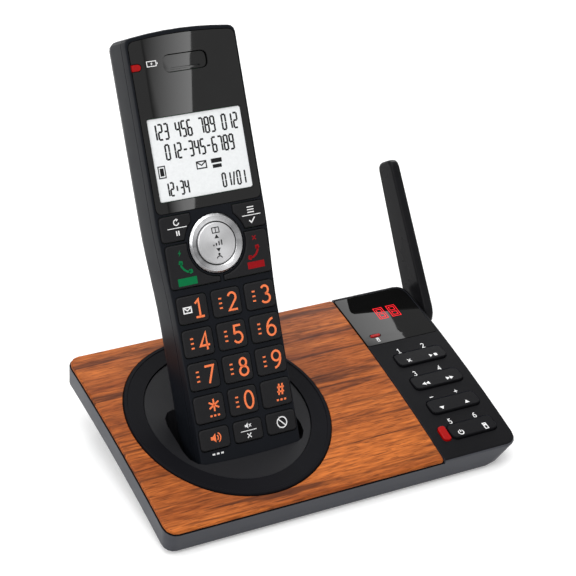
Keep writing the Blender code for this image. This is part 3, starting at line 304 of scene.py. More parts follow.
def ink(name, colour, glow=0.0):
    # printed or lit figures, a little uneven; a glow on printed figures is painted light
    material, tree, shader = newMaterial(name)
    grain = addNode(tree, "ShaderNodeGroup", node_tree=grainGroup)
    grain.inputs["Patch"].default_value = 900.0
    faded = [channel * 0.86 for channel in colour]
    tone = blendColours(tree, grain.outputs["Tone"], faded, colour)
    tree.links.new(tone, shader.inputs["Base Color"])
    shader.inputs["Roughness"].default_value = 0.5
    shader.inputs["Specular IOR Level"].default_value = 0.12
    if glow:
        tree.links.new(tone, shader.inputs["Emission Color"])
        shader.inputs["Emission Strength"].default_value = glow
    return material


slateSatin = grained("slateSatin", (0.030, 0.032, 0.041), (0.038, 0.040, 0.050), 0.40, 0.50, specular=0.35)
blackSatin = grained("blackSatin", (0.007, 0.007, 0.008), (0.010, 0.010, 0.012), 0.46, 0.56, specular=0.10)
ringSatin = grained("ringSatin", (0.004, 0.004, 0.005), (0.006, 0.006, 0.008), 0.40, 0.50, specular=0.03)
deckSatin = grained("deckSatin", (0.005, 0.005, 0.006), (0.008, 0.008, 0.009), 0.42, 0.52, specular=0.04)
aerialSatin = grained("aerialSatin", (0.006, 0.006, 0.007), (0.009, 0.009, 0.010), 0.24, 0.34, depth=0.00001,
                      specular=0.06)
rockerRubber = grained("rockerRubber", (0.004, 0.004, 0.005), (0.006, 0.006, 0.007), 0.40, 0.50,
                       depth=0.00001, specular=0.04)
railSatin = grained("railSatin", (0.005, 0.006, 0.008), (0.008, 0.009, 0.012), 0.30, 0.40, depth=0.00001,
                    specular=0.06)
keyRubber = grained("keyRubber", (0.009, 0.009, 0.010), (0.013, 0.013, 0.014), 0.50, 0.60, depth=0.00001,
                    specular=0.11)
glossBlack = grained("glossBlack", (0.004, 0.004, 0.004), (0.006, 0.006, 0.006), 0.012, 0.02, depth=0.0,
                     specular=0.28)
windowBlack = grained("windowBlack", (0.003, 0.003, 0.003), (0.005, 0.005, 0.005), 0.012, 0.02, depth=0.0,
                      specular=0.13)
wood = woodFoil()
# spun steel and silver paint their highlight and shade into the colour, between these dark and light tones
spunSteel = spunMetal("spunSteel", (0.14, 0.14, 0.145), (0.74, 0.74, 0.75), 0.18, 0.34, 1.0, 0.13)
spunSilver = spunMetal("spunSilver", (0.36, 0.36, 0.365), (0.62, 0.62, 0.63), 0.30, 0.42, 0.3, 0.02)
pinSteel = grained("pinSteel", (0.50, 0.50, 0.51), (0.60, 0.60, 0.61), 0.22, 0.34, depth=0.0, metallic=1.0)
screenGlow = ink("screenGlow", (0.72, 0.735, 0.74), 0.22)
redLamp = lampLens("redLamp", (0.20, 0.001, 0.001), (0.34, 0.002, 0.002), (0.7, 0.004, 0.004), 0.12)
footRubber = grained("footRubber", (0.012, 0.012, 0.012), (0.02, 0.02, 0.02), 0.75, 0.85, specular=0.2)
boardGreen = grained("boardGreen", (0.012, 0.11, 0.04), (0.02, 0.17, 0.06), 0.40, 0.55)
coneBlack = grained("coneBlack", (0.03, 0.03, 0.03), (0.05, 0.05, 0.05), 0.65, 0.75)
contactBrass = grained("contactBrass", (0.74, 0.52, 0.22), (0.84, 0.62, 0.30), 0.18, 0.30, depth=0.0,
                       metallic=1.0)
cellSleeve = grained("cellSleeve", (0.03, 0.12, 0.34), (0.05, 0.17, 0.42), 0.35, 0.45)
# the printed inks glow faintly: painted light that brightens them, as they are no lamps
salmonInk = ink("salmonInk", (0.86, 0.20, 0.07), 0.12)
whiteInk = ink("whiteInk", (0.80, 0.80, 0.80), 0.1)
greenInk = ink("greenInk", (0.0, 0.14, 0.042), 0.1)
redInk = ink("redInk", (0.26, 0.003, 0.006), 0.08)
darkInk = ink("darkInk", (0.010, 0.010, 0.011))
ledGlow = ink("ledGlow", (0.80, 0.012, 0.020), 0.8)
print("materials ready")

# Which finish and slot each carried-over node has, and how far its edges are eased
finishes = {
    "base_top_case": (slateSatin, "slate", 0.00015),
    "base_bottom_case": (blackSatin, "slate", 0.0002),
    "wood_panel": (wood, "wood", 0.00012),
    "cradle_ring": (ringSatin, "black_plastic", 0.00012),
    "cradle_cup": (blackSatin, "black_plastic", 0.0002),
    "display_window": (windowBlack, "gloss_black", 0.00015),
    "antenna": (aerialSatin, "slate", 0.0),
    "handset_front_case": (railSatin, "black_plastic", 0.00012),
    "handset_back_case": (railSatin, "slate", 0.00015),
    "battery_door": (railSatin, "slate", 0.00015),
    "handset_lens": (glossBlack, "gloss_black", 0.00015),
    "earpiece": (glossBlack, "gloss_black", 0.0001),
    "nav_trim_ring": (spunSteel, "silver", 0.00015),
    "nav_rocker": (spunSilver, "silver_grey", 0.00015),
    "line_jack": (blackSatin, "black_plastic", 0.0002),
    "power_jack": (blackSatin, "black_plastic", 0.0002),
    "answer_light": (redLamp, "red_lens", 0.0002),
    "in_use_light": (redLamp, "red_lens", 0.0001),
    "charge_light": (redLamp, "red_lens", 0.0001),
    "message_display": (redLamp, "display", 0.0),
    "lcd_screen": (screenGlow, "screen", 0.0),
    "base_circuit_board": (boardGreen, "board", 0.0),
    "handset_circuit_board": (boardGreen, "board", 0.0),
    "base_speaker": (coneBlack, "speaker", 0.0002),
    "antenna_pin": (pinSteel, "pin_steel", 0.0002),
    "battery_pack": (cellSleeve, "cell_sleeve", 0.0003),
}
# What the nodes whose names start alike have
alike = {"key_": (keyRubber, "key_plastic", 0.0002), "rocker_": (rockerRubber, "key_plastic", 0.0002),
         "foot_": (footRubber, "foot_rubber", 0.0002), "charge_contact_": (contactBrass, "contact", 0.0001),
         "charge_pad_": (contactBrass, "contact", 0.0001)}
for node in nodes:
    for start, finish in alike.items():
        if node.startswith(start):
            finishes[node] = finish
for node, (material, slot, width) in finishes.items():
    finishedCopy(node, material, width)

# The case's deck is near black, and its sides are slate
deckSlope = 0.75
case = bpy.data.objects["base_top_case_finished"]
case.data.materials.append(deckSatin)
for polygon in case.data.polygons:
    if polygon.normal.z > deckSlope:
        polygon.material_index = 1
print("finished copies made")

# Printed figures and signs: flat shapes, in millimetres, dropped on the face that they mark
printLook = {"lift": 0.015, "thickness": 0.03, "slice": 0.9, "dropHeight": 200.0}
inks = {"salmon": salmonInk, "white": whiteInk, "green": greenInk, "red": redInk, "dark": darkInk,
        "glow": ledGlow}
inkOrder = list(inks)


def stroke(mesh, points, width, ink, closed=False):
    # a ribbon along a line, mitred at its bends up to twice its width
    points = [Vector(point) for point in points]
    count = len(points)
    pairs = []
    for index, here in enumerate(points):
        into = (here - points[index - 1]).normalized() if index or closed else None
        out = (points[(index + 1) % count] - here).normalized() if index < count - 1 or closed else into
        into = into or out
        across = Vector((-into.y - out.y, into.x + out.x)).normalized()
        reach = width / 2 / max(across.dot(Vector((-into.y, into.x))), 0.5)
        pairs.append([mesh.verts.new((*(here + across * side), 0.0)) for side in (reach, -reach)])
    if closed:
        pairs.append(pairs[0])
    for (left, right), (nextLeft, nextRight) in zip(pairs, pairs[1:]):
        mesh.faces.new((left, right, nextRight, nextLeft)).material_index = inkOrder.index(ink)


def patch(mesh, points, ink):
    # a filled outline
    face = mesh.faces.new([mesh.verts.new((x, y, 0.0)) for x, y in points])
    face.material_index = inkOrder.index(ink)
    face.normal_update()
    if face.normal.z < 0.0:
        face.normal_flip()


def arc(x, y, wide, tall, start, end, steps=10):
    angles = [math.radians(start + (end - start) * step / steps) for step in range(steps + 1)]
    return [(x + wide * math.cos(angle), y + tall * math.sin(angle)) for angle in angles]


def oval(x, y, wide, tall, steps=18):
    return arc(x, y, wide, tall, 0, 360, steps)[:-1]


def rectangle(left, low, right, high):
    return [(left, low), (right, low), (right, high), (left, high)]


# Lines of each figure in a box 0.6 wide and 1 tall, and whether a line closes on itself
six = [(oval(0.3, 0.29, 0.27, 0.29), True), (arc(0.50, 0.34, 0.47, 0.64, 92, 172, 7), False)]
figureLines = {
    "0": [(oval(0.3, 0.5, 0.27, 0.5, 20), True)],
    "1": [([(0.10, 0.80), (0.34, 1.0), (0.34, 0.0)], False), ([(0.06, 0.0), (0.60, 0.0)], False)],
    "2": [(arc(0.29, 0.73, 0.25, 0.27, 160, -28, 9) + [(0.03, 0.0), (0.57, 0.0)], False)],
    "3": [(arc(0.27, 0.765, 0.23, 0.235, 150, -90, 9), False),
          (arc(0.26, 0.27, 0.29, 0.26, 88, -150, 9), False)],
    "4": [([(0.44, 0.0), (0.44, 1.0), (0.02, 0.27), (0.62, 0.27)], False)],
    "5": [([(0.52, 1.0), (0.11, 1.0), (0.08, 0.56)] + arc(0.27, 0.31, 0.29, 0.31, 128, -150, 10), False)],
    "6": six,
    "7": [([(0.02, 1.0), (0.57, 1.0), (0.20, 0.0)], False)],
    "8": [(oval(0.3, 0.765, 0.21, 0.235, 16), True), (oval(0.3, 0.265, 0.27, 0.265), True)],
    "9": [([(0.6 - x, 1.0 - y) for x, y in line], closed) for line, closed in six],
    "*": [([(0.3 - 0.5 * x, 0.5 - 0.5 * y), (0.3 + 0.5 * x, 0.5 + 0.5 * y)], False)
          for x, y in ((0.0, 1.0), (0.87, 0.5), (0.87, -0.5))],
    "#": [([(0.12, 0.05), (0.24, 0.95)], False), ([(0.42, 0.05), (0.54, 0.95)], False),
          ([(0.0, 0.32), (0.62, 0.32)], False), ([(0.04, 0.68), (0.66, 0.68)], False)],
    "+": [([(0.3, 0.15), (0.3, 0.85)], False), ([(-0.05, 0.5), (0.65, 0.5)], False)],
    "-": [([(-0.05, 0.5), (0.65, 0.5)], False)],
}

# Bars that are lit for each figure of a readout, and where each bar runs
barEnds = {"a": ((0, 1), (1, 1)), "b": ((1, 1), (1, 0.5)), "c": ((1, 0.5), (1, 0)), "d": ((1, 0), (0, 0)),
           "e": ((0, 0), (0, 0.5)), "f": ((0, 0.5), (0, 1)), "g": ((0, 0.5), (1, 0.5))}
litBars = {"0": "abcdef", "1": "bc", "2": "abged", "3": "abgcd", "4": "fgbc", "5": "afgcd", "6": "afgedc",
           "7": "abc", "8": "abcdefg", "9": "abcdfg", "-": "g"}

# Signs in a box from -1 to 1, made of lines, loops and filled outlines
horn = [("fill", [(-1.0, -0.3), (-0.55, -0.3), (0.0, -0.85), (0.0, 0.85), (-0.55, 0.3), (-1.0, 0.3)])]
receiver = [("line", [(-0.55, 0.75), (-0.60, 0.25), (-0.25, -0.25), (0.25, -0.60), (0.75, -0.55)]),
            ("fill", [(-0.95, 0.60), (-0.80, 1.05), (-0.30, 0.95), (-0.30, 0.50), (-0.60, 0.40)]),
            ("fill", [(0.60, -0.95), (1.05, -0.80), (0.95, -0.30), (0.50, -0.30), (0.40, -0.60)])]
signs = {
    "envelope": [("loop", rectangle(-1.0, -0.65, 1.0, 0.65)),
                 ("line", [(-1.0, 0.6), (0.0, -0.1), (1.0, 0.6)])],
    "receiver": receiver,
    "receiverTurned": [(kind, [(-x, y) for x, y in points]) for kind, points in receiver],
    "cross": [("line", [(-0.8, -0.8), (0.8, 0.8)]), ("line", [(-0.8, 0.8), (0.8, -0.8)])],
    "pause": [("line", [(-0.4, -0.8), (-0.4, 0.8)]), ("line", [(0.4, -0.8), (0.4, 0.8)])],
    "again": [("line", arc(0.0, 0.0, 0.8, 0.8, 60, 350, 12)),
              ("fill", [(0.1, 1.15), (0.75, 0.7), (0.1, 0.25)])],
    "list": [("line", [(-1.0, level), (1.0, level)]) for level in (-0.7, 0.0, 0.7)],
    "tick": [("line", [(-0.9, 0.0), (-0.25, -0.65), (0.95, 0.75)])],
    "bolt": [("fill", [(0.35, 1.0), (-0.6, -0.15), (-0.05, -0.15), (-0.35, -1.0), (0.6, 0.15),
                       (0.05, 0.15)])],
    "up": [("fill", [(-0.9, -0.6), (0.9, -0.6), (0.0, 0.8)])],
    "down": [("fill", [(-0.9, 0.6), (0.0, -0.8), (0.9, 0.6)])],
    "playStop": [("fill", [(-1.7, -0.8), (-0.4, 0.0), (-1.7, 0.8)]),
                 ("fill", rectangle(0.3, -0.65, 1.6, 0.65))],
    "back": [("fill", [(-1.5, 0.0), (0.0, -0.8), (0.0, 0.8)]),
             ("fill", [(0.05, 0.0), (1.55, -0.8), (1.55, 0.8)])],
    "onward": [("fill", [(-1.55, -0.8), (-0.05, 0.0), (-1.55, 0.8)]),
               ("fill", [(0.0, -0.8), (1.5, 0.0), (0.0, 0.8)])],
    "power": [("line", arc(0.0, 0.0, 0.9, 0.9, 125, 415, 14)), ("line", [(0.0, 0.1), (0.0, 1.1)])],
    "phone": [("loop", rectangle(-0.5, -1.0, 0.5, 1.0)), ("fill", rectangle(-0.3, 0.1, 0.3, 0.7))],
    "speaker": horn + [("line", arc(0.1, 0.0, 0.42, 0.5, -60, 60, 6)),
                       ("line", arc(0.1, 0.0, 0.9, 0.95, -60, 60, 8))],
    "mute": horn + [("line", [(0.3, -0.4), (1.0, 0.4)]), ("line", [(0.3, 0.4), (1.0, -0.4)])],
    "block": [("loop", oval(0.0, 0.0, 0.95, 0.95)), ("line", [(-0.6, 0.6), (0.6, -0.6)])],
    "level": [("line", [(x, -0.8), (x, 0.1 + 0.4 * x)]) for x in (-1.2, -0.4, 0.4, 1.2)],
    "book": [("loop", rectangle(-1.0, -0.7, 1.0, 0.7)), ("line", [(0.0, -0.7), (0.0, 0.7)])],
    "person": [("fill", oval(0.0, 0.5, 0.4, 0.4, 10)), ("line", arc(0.0, -0.9, 0.9, 0.8, 10, 170, 8))],
    "line": [("line", [(-1.0, 0.0), (1.0, 0.0)])],
    "plus": [("line", [(-1.0, 0.0), (1.0, 0.0)]), ("line", [(0.0, -1.0), (0.0, 1.0)])],
    "dashes": [("line", [(x - 0.35, 0.0), (x + 0.35, 0.0)]) for x in (-1.2, 0.0, 1.2)],
    "stack": [("line", [(-0.35, y), (0.35, y)]) for y in (-1.0, 0.0, 1.0)],
    "bar": [("fill", rectangle(-1.0, -0.36, 1.0, 0.36))],
    "cell": [("loop", rectangle(-1.0, -0.5, 1.0, 0.5)), ("line", [(1.25, -0.2), (1.25, 0.2)])],
    "fullCell": [("loop", rectangle(-0.6, -1.0, 0.6, 0.9)), ("fill", rectangle(-0.35, -0.7, 0.35, 0.6))],
}


def drawFigure(mesh, figure, x, y, height, line, ink):
    # centred on x, y, from its box 0.6 wide and 1 tall
    for points, closed in figureLines[figure]:
        stroke(mesh, [(x + (a - 0.3) * height, y + (b - 0.5) * height) for a, b in points], line, ink, closed)


def drawSign(mesh, sign, x, y, size, line, ink):
    for kind, points in signs[sign]:
        placed = [(x + a * size, y + b * size) for a, b in points]
        if kind == "fill":
            patch(mesh, placed, ink)
        else:
            stroke(mesh, placed, line, ink, kind == "loop")


def drawSigns(mesh, marks):
    for sign, x, y, size, line, ink in marks:
        drawSign(mesh, sign, x, y, size, line, ink)


# The share of its pitch that a readout's figure takes, and of the line that each bar's end draws back
readoutShares = {"width": 0.62, "trim": 0.12}


def drawReadout(mesh, text, left, middle, pitch, height, line):
    # bar figures in a row, from its left edge
    width = pitch * readoutShares["width"]
    for index, figure in enumerate(text):
        start = left + index * pitch
        if figure in ":/":
            ends = ((0.2, 0.0), (0.8, 1.0)) if figure == "/" else ((0.5, 0.3), (0.5, 0.7))
            stroke(mesh, [(start + a * width, middle + (b - 0.5) * height) for a, b in ends], line, "dark")
        for bar in litBars.get(figure, ""):
            ends = [Vector((start + a * width, middle + (b - 0.5) * height)) for a, b in barEnds[bar]]
            trim = (ends[1] - ends[0]).normalized() * line * readoutShares["trim"]
            stroke(mesh, [ends[0] + trim, ends[1] - trim], line, "dark")


def cutUp(mesh, width):
    # into squares, so that it can follow a curved face
    for axis in range(2):
        reach = max(abs(vertex.co[axis]) for vertex in mesh.verts)
        direction = Vector([float(index == axis) for index in range(3)])
        for step in range(-int(reach / width), int(reach / width) + 1):
            bmesh.ops.bisect_plane(mesh, geom=mesh.verts[:] + mesh.edges[:] + mesh.faces[:],
                                   plane_co=direction * (step * width), plane_no=direction)


def printOn(name, node, place, draw, sliceWidth=printLook["slice"]):
    # draw flat, drop it on the face from above, and raise it to its thickness
    mesh = bmesh.new()
    draw(mesh)
    if sliceWidth:
        cutUp(mesh, sliceWidth)
    used = sorted({face.material_index for face in mesh.faces})
    for face in mesh.faces:
        face.material_index = used.index(face.material_index)
    back = place.inverted()
    tree = BVHTree.FromPolygons([back @ vertex.co for vertex in nodes[node].data.vertices],
                                [polygon.vertices for polygon in nodes[node].data.polygons])
    level = 0.0
    for vertex in mesh.verts:
        x, y, above = vertex.co.x * millimetre, vertex.co.y * millimetre, printLook["dropHeight"] * millimetre
        hit = tree.ray_cast(Vector((x, y, above)), Vector((0.0, 0.0, -1.0)))[0]
        level = hit.z if hit else level
        vertex.co = place @ Vector((x, y, level + printLook["lift"] * millimetre))
    raised = bmesh.ops.extrude_face_region(mesh, geom=mesh.faces[:], use_keep_orig=True)["geom"]
    bmesh.ops.translate(mesh, vec=place.to_3x3() @ Vector((0.0, 0.0, printLook["thickness"] * millimetre)),
                        verts=[part for part in raised if isinstance(part, bmesh.types.BMVert)])
    bmesh.ops.recalc_face_normals(mesh, faces=mesh.faces)
    addPiece(name, mesh, [inks[inkOrder[index]] for index in used], bodyOf[node])


def faceMiddle(node, place):
    low, high = localBox(node, place)
    return place @ Matrix.Translation(((low.x + high.x) / 2, (low.y + high.y) / 2, 0.0))


# Figures of the keypad, each with a small stack of marks or a sign: place from the key's middle, size, line
keyLook = {"figure": (2.5, 0.0, 6.9, 0.86), "stack": (-2.9, 0.0, 1.9, 0.62),
           "envelope": (-2.5, 0.0, 1.7, 0.5), "mark": (1.9, 1.1, 5.0, 0.72), "dashes": (1.7, -3.1, 1.4, 0.75)}


def drawKey(mesh, figure):
    if figure in "*#":
        drawFigure(mesh, figure, *keyLook["mark"], "salmon")
        drawSign(mesh, "dashes", *keyLook["dashes"], "salmon")
    else:
        drawFigure(mesh, figure, *keyLook["figure"], "salmon")
        sign, colour = ("envelope", "white") if figure == "1" else ("stack", "salmon")
        drawSign(mesh, sign, *keyLook[sign], colour)


keyPrints = {"figure_" + figure: ("key_" + figure, figure) for figure in "0123456789"}
keyPrints.update({"sign_key_star": ("key_star", "*"), "sign_key_pound": ("key_pound", "#")})
for name, (node, figure) in keyPrints.items():
    printOn(name, node, faceMiddle(node, handsetPlace), lambda mesh: drawKey(mesh, figure))

# Signs of the other faces: sign, place from the face's middle, size, line and ink
faceSigns = {
    "key_redial": [("again", 0.3, 2.3, 1.4, 0.42, "white"), ("line", 0.3, 0.1, 4.2, 0.3, "white"),
                   ("pause", 0.3, -2.0, 1.2, 0.5, "white")],
    "key_menu": [("list", 0.7, 2.0, 1.5, 0.4, "white"), ("line", 0.7, -0.2, 4.2, 0.3, "white"),
                 ("tick", 0.7, -2.3, 1.4, 0.5, "white")],
    "key_phone": [("bolt", -5.2, 5.3, 1.3, 0.4, "green"), ("receiver", -3.6, -0.7, 2.9, 0.8, "green"),
                  ("bar", -3.6, -6.2, 4.2, 0.4, "green")],
    "key_off": [("cross", 4.9, 5.8, 1.0, 0.4, "red"), ("receiverTurned", 3.9, -0.1, 2.9, 0.8, "red"),
                ("bar", 3.9, -5.0, 3.8, 0.4, "red")],
    "key_speaker": [("speaker", 0.3, 0.3, 2.2, 0.45, "salmon")],
    "key_mute": [("mute", 0.0, 2.0, 1.4, 0.3, "white"), ("line", 0.0, 0.0, 3.6, 0.28, "white"),
                 ("cross", 0.0, -2.0, 1.1, 0.4, "white")],
    "key_call_block": [("block", 0.2, 0.0, 2.3, 0.45, "white")],
    "nav_rocker": [("book", 0.0, 5.2, 1.5, 0.36, "dark"), ("up", 0.0, 2.6, 1.1, 0.3, "dark"),
                   ("level", 0.0, 0.2, 1.5, 0.5, "dark"), ("down", 0.0, -2.7, 1.1, 0.3, "dark"),
                   ("person", 0.0, -5.1, 1.3, 0.4, "dark")],
}
for node, marks in faceSigns.items():
    slot = "silver_grey" if node == "nav_rocker" else "key_plastic"
    printOn("signs_" + node, node, faceMiddle(node, handsetPlace), lambda mesh: drawSigns(mesh, marks))

# Signs on cases and windows: node, place, shift from it in metres, slot and signs
caseSigns = {
    "sign_charging": ("handset_lens", handsetPlace, (-0.0148, 0.0738), "gloss_black",
                      [("cell", 0.0, 0.0, 2.0, 0.32, "white"), ("bolt", 0.0, 0.0, 0.8, 0.3, "white")]),
    "sign_speaker": ("handset_front_case", faceMiddle("key_speaker", handsetPlace), (0.0005, -0.0062),
                     "black_plastic", [("dashes", 0.0, 0.0, 1.6, 0.7, "white")]),
    "sign_in_use": ("display_window", faceMiddle("in_use_light", basePlace), (0.0, -0.0026), "gloss_black",
                    [("phone", 0.0, 0.0, 1.0, 0.26, "white")]),
}
for name, (node, place, shift, slot, marks) in caseSigns.items():
    printOn(name, node, place @ Matrix.Translation((*shift, 0.0)), lambda mesh: drawSigns(mesh, marks))

# Readout of the handset's screen, from its top left corner: text, left, middle, pitch, height and line
screenLines = [("123 456 789 012", 1.6, -5.5, 2.58, 6.0, 0.72), ("012-345-6789", 5.9, -13.7, 2.6, 5.8, 0.72),
               ("12:34", 3.1, -28.3, 2.2, 5.1, 0.68), ("01/01", 28.6, -28.3, 2.2, 5.3, 0.68)]
screenSigns = [("fullCell", 2.8, -21.0, 2.4, 0.45, "dark"), ("envelope", 20.4, -20.8, 2.1, 0.5, "dark"),
               ("bar", 27.2, -20.0, 2.4, 0.4, "dark"), ("bar", 27.2, -22.2, 2.0, 0.4, "dark")]
screenLow, screenHigh = localBox("lcd_screen", handsetPlace)
screenCorner = handsetPlace @ Matrix.Translation((screenLow.x, screenHigh.y, 0.0))


def drawScreen(mesh):
    for line in screenLines:
        drawReadout(mesh, *line)
    drawSigns(mesh, screenSigns)


printOn("readout_screen", "lcd_screen", screenCorner, drawScreen, 0.0)

# Each rocker's ends, left and right: sign, its size, and the plain figure on the case behind it
rockerSigns = {
    "rocker_delete_play": (("cross", 1.0, "1"), ("playStop", 1.15, "2")),
    "rocker_repeat_skip": (("back", 1.2, "3"), ("onward", 1.2, "4")),
    "rocker_volume": (("down", 1.25, "-"), ("up", 1.25, "+")),
    "rocker_answer_find": (("power", 1.3, "5"), ("phone", 1.5, "6")),
}
rockerLook = {"ends": (-6.5, 5.9), "signForward": -1.6, "signLine": 0.42, "figureBack": 5.4,
              "figureShift": -1.2, "figureHeight": 2.4, "figureLine": 0.36}


def drawRockerSigns(mesh, ends):
    look = rockerLook
    for x, (sign, size, figure) in zip(look["ends"], ends):
        drawSign(mesh, sign, x, look["signForward"], size, look["signLine"], "white")


def drawRockerFigures(mesh, ends):
    look = rockerLook
    for x, (sign, size, figure) in zip(look["ends"], ends):
        drawFigure(mesh, figure, x + look["figureShift"], look["figureBack"], look["figureHeight"],
                   look["figureLine"], "white")


for node, ends in rockerSigns.items():
    place = faceMiddle(node, basePlace)
    printOn("signs_" + node, node, place, lambda mesh: drawRockerSigns(mesh, ends))
    printOn("figures_" + node, "base_top_case", place,
            lambda mesh: drawRockerFigures(mesh, ends))

# Message count behind the window: hollow lit figures, laid on its face over the display
countLook = {"wide": 4.3, "tall": 6.8, "apart": 6.6, "line": 0.30, "bar": 0.95, "back": 1.2}


def drawCount(mesh):
    look = countLook
    right, top, bar = look["wide"] / 2, look["tall"] / 2, look["bar"]
    for middle in (-look["apart"] / 2, look["apart"] / 2):
        loops = [rectangle(middle - right, -top, middle + right, top)]
        for low, high in ((-top + bar, -bar / 2), (bar / 2, top - bar)):
            loops.append(rectangle(middle - right + bar, low, middle + right - bar, high))
        for loop in loops:
            stroke(mesh, [(x, y + look["back"]) for x, y in loop], look["line"], "glow", True)


printOn("count_figures", "display_window", faceMiddle("message_display", basePlace), drawCount)
print("prints laid on")

# Case screws under the base, one beside each foot
screwLook = {"radius": 0.0026, "height": 0.0006, "bevel": 0.0002, "inward": 0.0095, "sides": 28,
             "cross": 1.5, "line": 0.55, "crossLift": 0.00001}


def addScrew(corner):
    look = screwLook
    foot = middleOf("foot_" + corner)
    inward = math.copysign(look["inward"], middleOf("base_bottom_case").x - foot.x)
    seat = Vector((foot.x + inward, foot.y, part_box("base_bottom_case")[0].z))
    body = bodyOf["base_bottom_case"]
    mesh = bmesh.new()
    bmesh.ops.create_cone(mesh, cap_ends=True, segments=look["sides"], radius1=look["radius"],
                          radius2=look["radius"], depth=look["height"])
    rim = [edge for edge in mesh.edges if all(vertex.co.z < 0.0 for vertex in edge.verts)]
    bmesh.ops.bevel(mesh, geom=rim, offset=look["bevel"], segments=3, profile=0.5, affect="EDGES",
                    material=-1)
    bmesh.ops.translate(mesh, vec=seat - Vector((0.0, 0.0, look["height"] / 2)), verts=mesh.verts)
    addPiece("case_screw_" + corner, mesh, [pinSteel], body)
    # the cross recess is a flat dark mark, painted shade standing in for the hollow in the screw head
    mesh = bmesh.new()
    drawSign(mesh, "plus", 0.0, 0.0, look["cross"], look["line"], "dark")
    for vertex in mesh.verts:
        vertex.co = seat + Vector((vertex.co.x * millimetre, vertex.co.y * millimetre,
                                   -look["height"] - look["crossLift"]))
    bmesh.ops.reverse_faces(mesh, faces=mesh.faces[:])
    for face in mesh.faces:
        face.material_index = 0
    addPiece("screw_recess_shade_" + corner, mesh, [darkInk], body)


for corner in ("front_left", "front_right", "back_left", "back_right"):
    addScrew(corner)
print("screws added")

# Floor, world and lamps
stageLook = {"floorSize": 4.0, "floorColour": (0.80, 0.80, 0.80), "lift": 0.30, "worldLight": 0.45}


def straightRays(tree):
    # 1 for rays of the camera, of gloss and of glass, for which floor and world are white
    rays = addNode(tree, "ShaderNodeLightPath")
    seen = rays.outputs["Is Camera Ray"]
    for kind in ("Is Glossy Ray", "Is Transmission Ray"):
        either = addNode(tree, "ShaderNodeMath", operation="MAXIMUM")
        tree.links.new(seen, either.inputs[0])
        tree.links.new(rays.outputs[kind], either.inputs[1])
        seen = either.outputs["Value"]
    return seen


def addFloor():
    mesh = bmesh.new()
    bmesh.ops.create_grid(mesh, x_segments=1, y_segments=1, size=stageLook["floorSize"] / 2)
    material, tree, shader = newMaterial("floorWhite")
    shader.inputs["Base Color"].default_value = (*stageLook["floorColour"], 1.0)
    shader.inputs["Roughness"].default_value = 0.9
    shader.inputs["Specular IOR Level"].default_value = 0.0
    lift = addNode(tree, "ShaderNodeMath", operation="MULTIPLY")
    tree.links.new(straightRays(tree), lift.inputs[0])
    lift.inputs[1].default_value = stageLook["lift"]
    shader.inputs["Emission Color"].default_value = (1.0, 1.0, 1.0, 1.0)
    tree.links.new(lift.outputs["Value"], shader.inputs["Emission Strength"])
    meshObject("floor", mesh, [material])


def setWorld():
    world = bpy.data.worlds.new("studio")
    bpy.context.scene.world = world
    world.use_nodes = True
    tree = world.node_tree
    tree.nodes.clear()
    room = addNode(tree, "ShaderNodeBackground", {"Color": (1.0, 1.0, 1.0, 1.0),
                                                  "Strength": stageLook["worldLight"]})
    white = addNode(tree, "ShaderNodeBackground", {"Color": (1.0, 1.0, 1.0, 1.0), "Strength": 1.0})
    mix = addNode(tree, "ShaderNodeMixShader")
    output = addNode(tree, "ShaderNodeOutputWorld")
    tree.links.new(straightRays(tree), mix.inputs[0])
    tree.links.new(room.outputs["Background"], mix.inputs[1])
    tree.links.new(white.outputs["Background"], mix.inputs[2])
    tree.links.new(mix.outputs["Shader"], output.inputs["Surface"])


lamps = {"topLamp": {"place": (-0.15, 0.10, 1.10), "size": 0.9, "power": 9.0},
         "leftLamp": {"place": (-0.95, -0.35, 0.75), "size": 0.6, "power": 6.0},
         "backLamp": {"place": (0.60, 0.80, 0.60), "size": 0.5, "power": 4.0}}
lampAim = Vector((0.0, 0.0, 0.06))


def addLamp(name, look):
    data = bpy.data.lights.new(name, "AREA")
    data.shape = "RECTANGLE"
    data.size = data.size_y = look["size"]
    data.energy = look["power"]
    lamp = bpy.data.objects.new(name, data)
    lamp.location = look["place"]
    lamp.rotation_euler = (lampAim - lamp.location).to_track_quat("-Z", "Y").to_euler()
    bpy.context.scene.collection.objects.link(lamp)


addFloor()
setWorld()
for name, look in lamps.items():
    addLamp(name, look)

# Camera, from the middle of the cradle on the floor
cameraSet = {"fromCradle": (-0.34919, -0.54875, 0.51001), "turn": -33.97, "tilt": 56.87, "roll": 8.17,
             "lens": 124.37, "sensor": 36.0, "near": 0.01}


def addCamera():
    data = bpy.data.cameras.new("camera")
    data.lens = cameraSet["lens"]
    data.sensor_width = cameraSet["sensor"]
    data.clip_start = cameraSet["near"]
    camera = bpy.data.objects.new("camera", data)
    cradle = middleOf("cradle_ring")
    x, y, z = cameraSet["fromCradle"]
    place = Matrix.Translation((cradle.x + x, cradle.y + y, z))
    turn = Matrix.Rotation(math.radians(cameraSet["turn"]), 4, "Z")
    tilt = Matrix.Rotation(math.radians(cameraSet["tilt"]), 4, "X")
    roll = Matrix.Rotation(math.radians(cameraSet["roll"]), 4, "Z")
    camera.matrix_world = place @ turn @ tilt @ roll
    bpy.context.scene.collection.objects.link(camera)
    bpy.context.scene.camera = camera


addCamera()

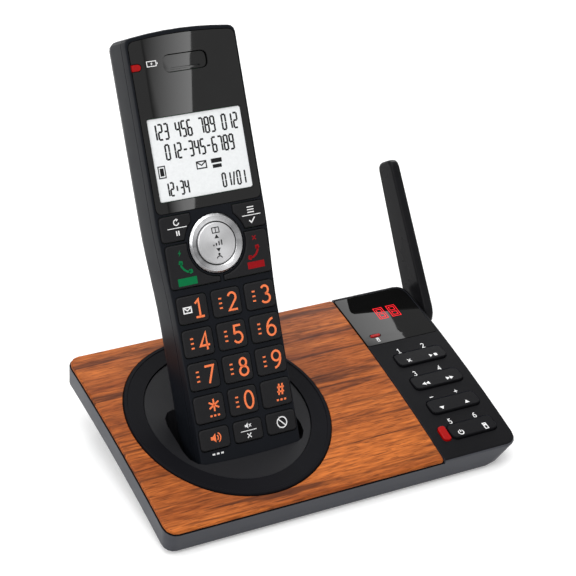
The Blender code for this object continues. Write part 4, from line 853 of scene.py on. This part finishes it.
# Cards that only gloss sees: each lights one part of a glossy face, up to the slanted edge of its reflection
windowSlope = 0.9
windowFaces = [face for face in nodes["display_window"].data.polygons if face.normal.z > windowSlope]
windowOut = sum((face.normal * face.area for face in windowFaces), Vector()).normalized()
# Left and right are a card's edges on the face that it lights, across and along it, and away is its distance
cards = {
    "lensCard": {"away": 0.9, "dark": 0.1, "bright": 7.4, "out": handsetOut, "on": dialMiddle,
                 "left": ((-0.0175, 0.0935), (-0.0185, -0.004)),
                 "right": ((0.0061, 0.0945), (-0.0098, -0.004))},
    "windowCard": {"away": 0.9, "dark": 2.4, "bright": 8.5, "out": windowOut,
                   "on": Vector((0.060, 0.012, 0.0262)),
                   "left": ((-0.030, 0.060), (-0.030, -0.060)),
                   "right": ((0.0190, 0.060), (-0.0130, -0.060))},
}


def addCard(name, look):
    # its corners are where the camera's mirrored lines of sight meet the card
    eye = bpy.context.scene.camera.matrix_world.translation
    out = look["out"]
    mirrored = eye - 2.0 * (eye - look["on"]).dot(out) * out
    across = Vector((1.0, 0.0, 0.0))
    across = (across - across.dot(out) * out).normalized()
    along = out.cross(across)
    middle = (look["on"] - mirrored).normalized()
    mesh = bmesh.new()
    glow = mesh.verts.layers.float.new("glow")
    corners = []
    for side, share in (("left", 0.0), ("right", 1.0)):
        for x, y in look[side] if side == "left" else reversed(look[side]):
            spot = look["on"] + across * x + along * y
            line = (spot - mirrored).normalized()
            vertex = mesh.verts.new(spot + line * (look["away"] / line.dot(middle)))
            vertex[glow] = share
            corners.append(vertex)
    mesh.faces.new(corners)
    material, tree, shader = newMaterial(name)
    tree.nodes.clear()
    level = addNode(tree, "ShaderNodeAttribute", attribute_name="glow").outputs["Fac"]
    light = addNode(tree, "ShaderNodeEmission")
    tree.links.new(rescale(tree, level, look["dark"], look["bright"], 0.0, 1.0), light.inputs["Strength"])
    output = addNode(tree, "ShaderNodeOutputMaterial")
    tree.links.new(light.outputs["Emission"], output.inputs["Surface"])
    card = meshObject(name, mesh, [material])
    card.visible_camera = False
    card.visible_diffuse = False
    card.visible_shadow = False
    card.visible_transmission = False


for name, look in cards.items():
    addCard(name, look)
bpy.context.scene.view_settings.view_transform = "Standard"
print("lights and camera placed")
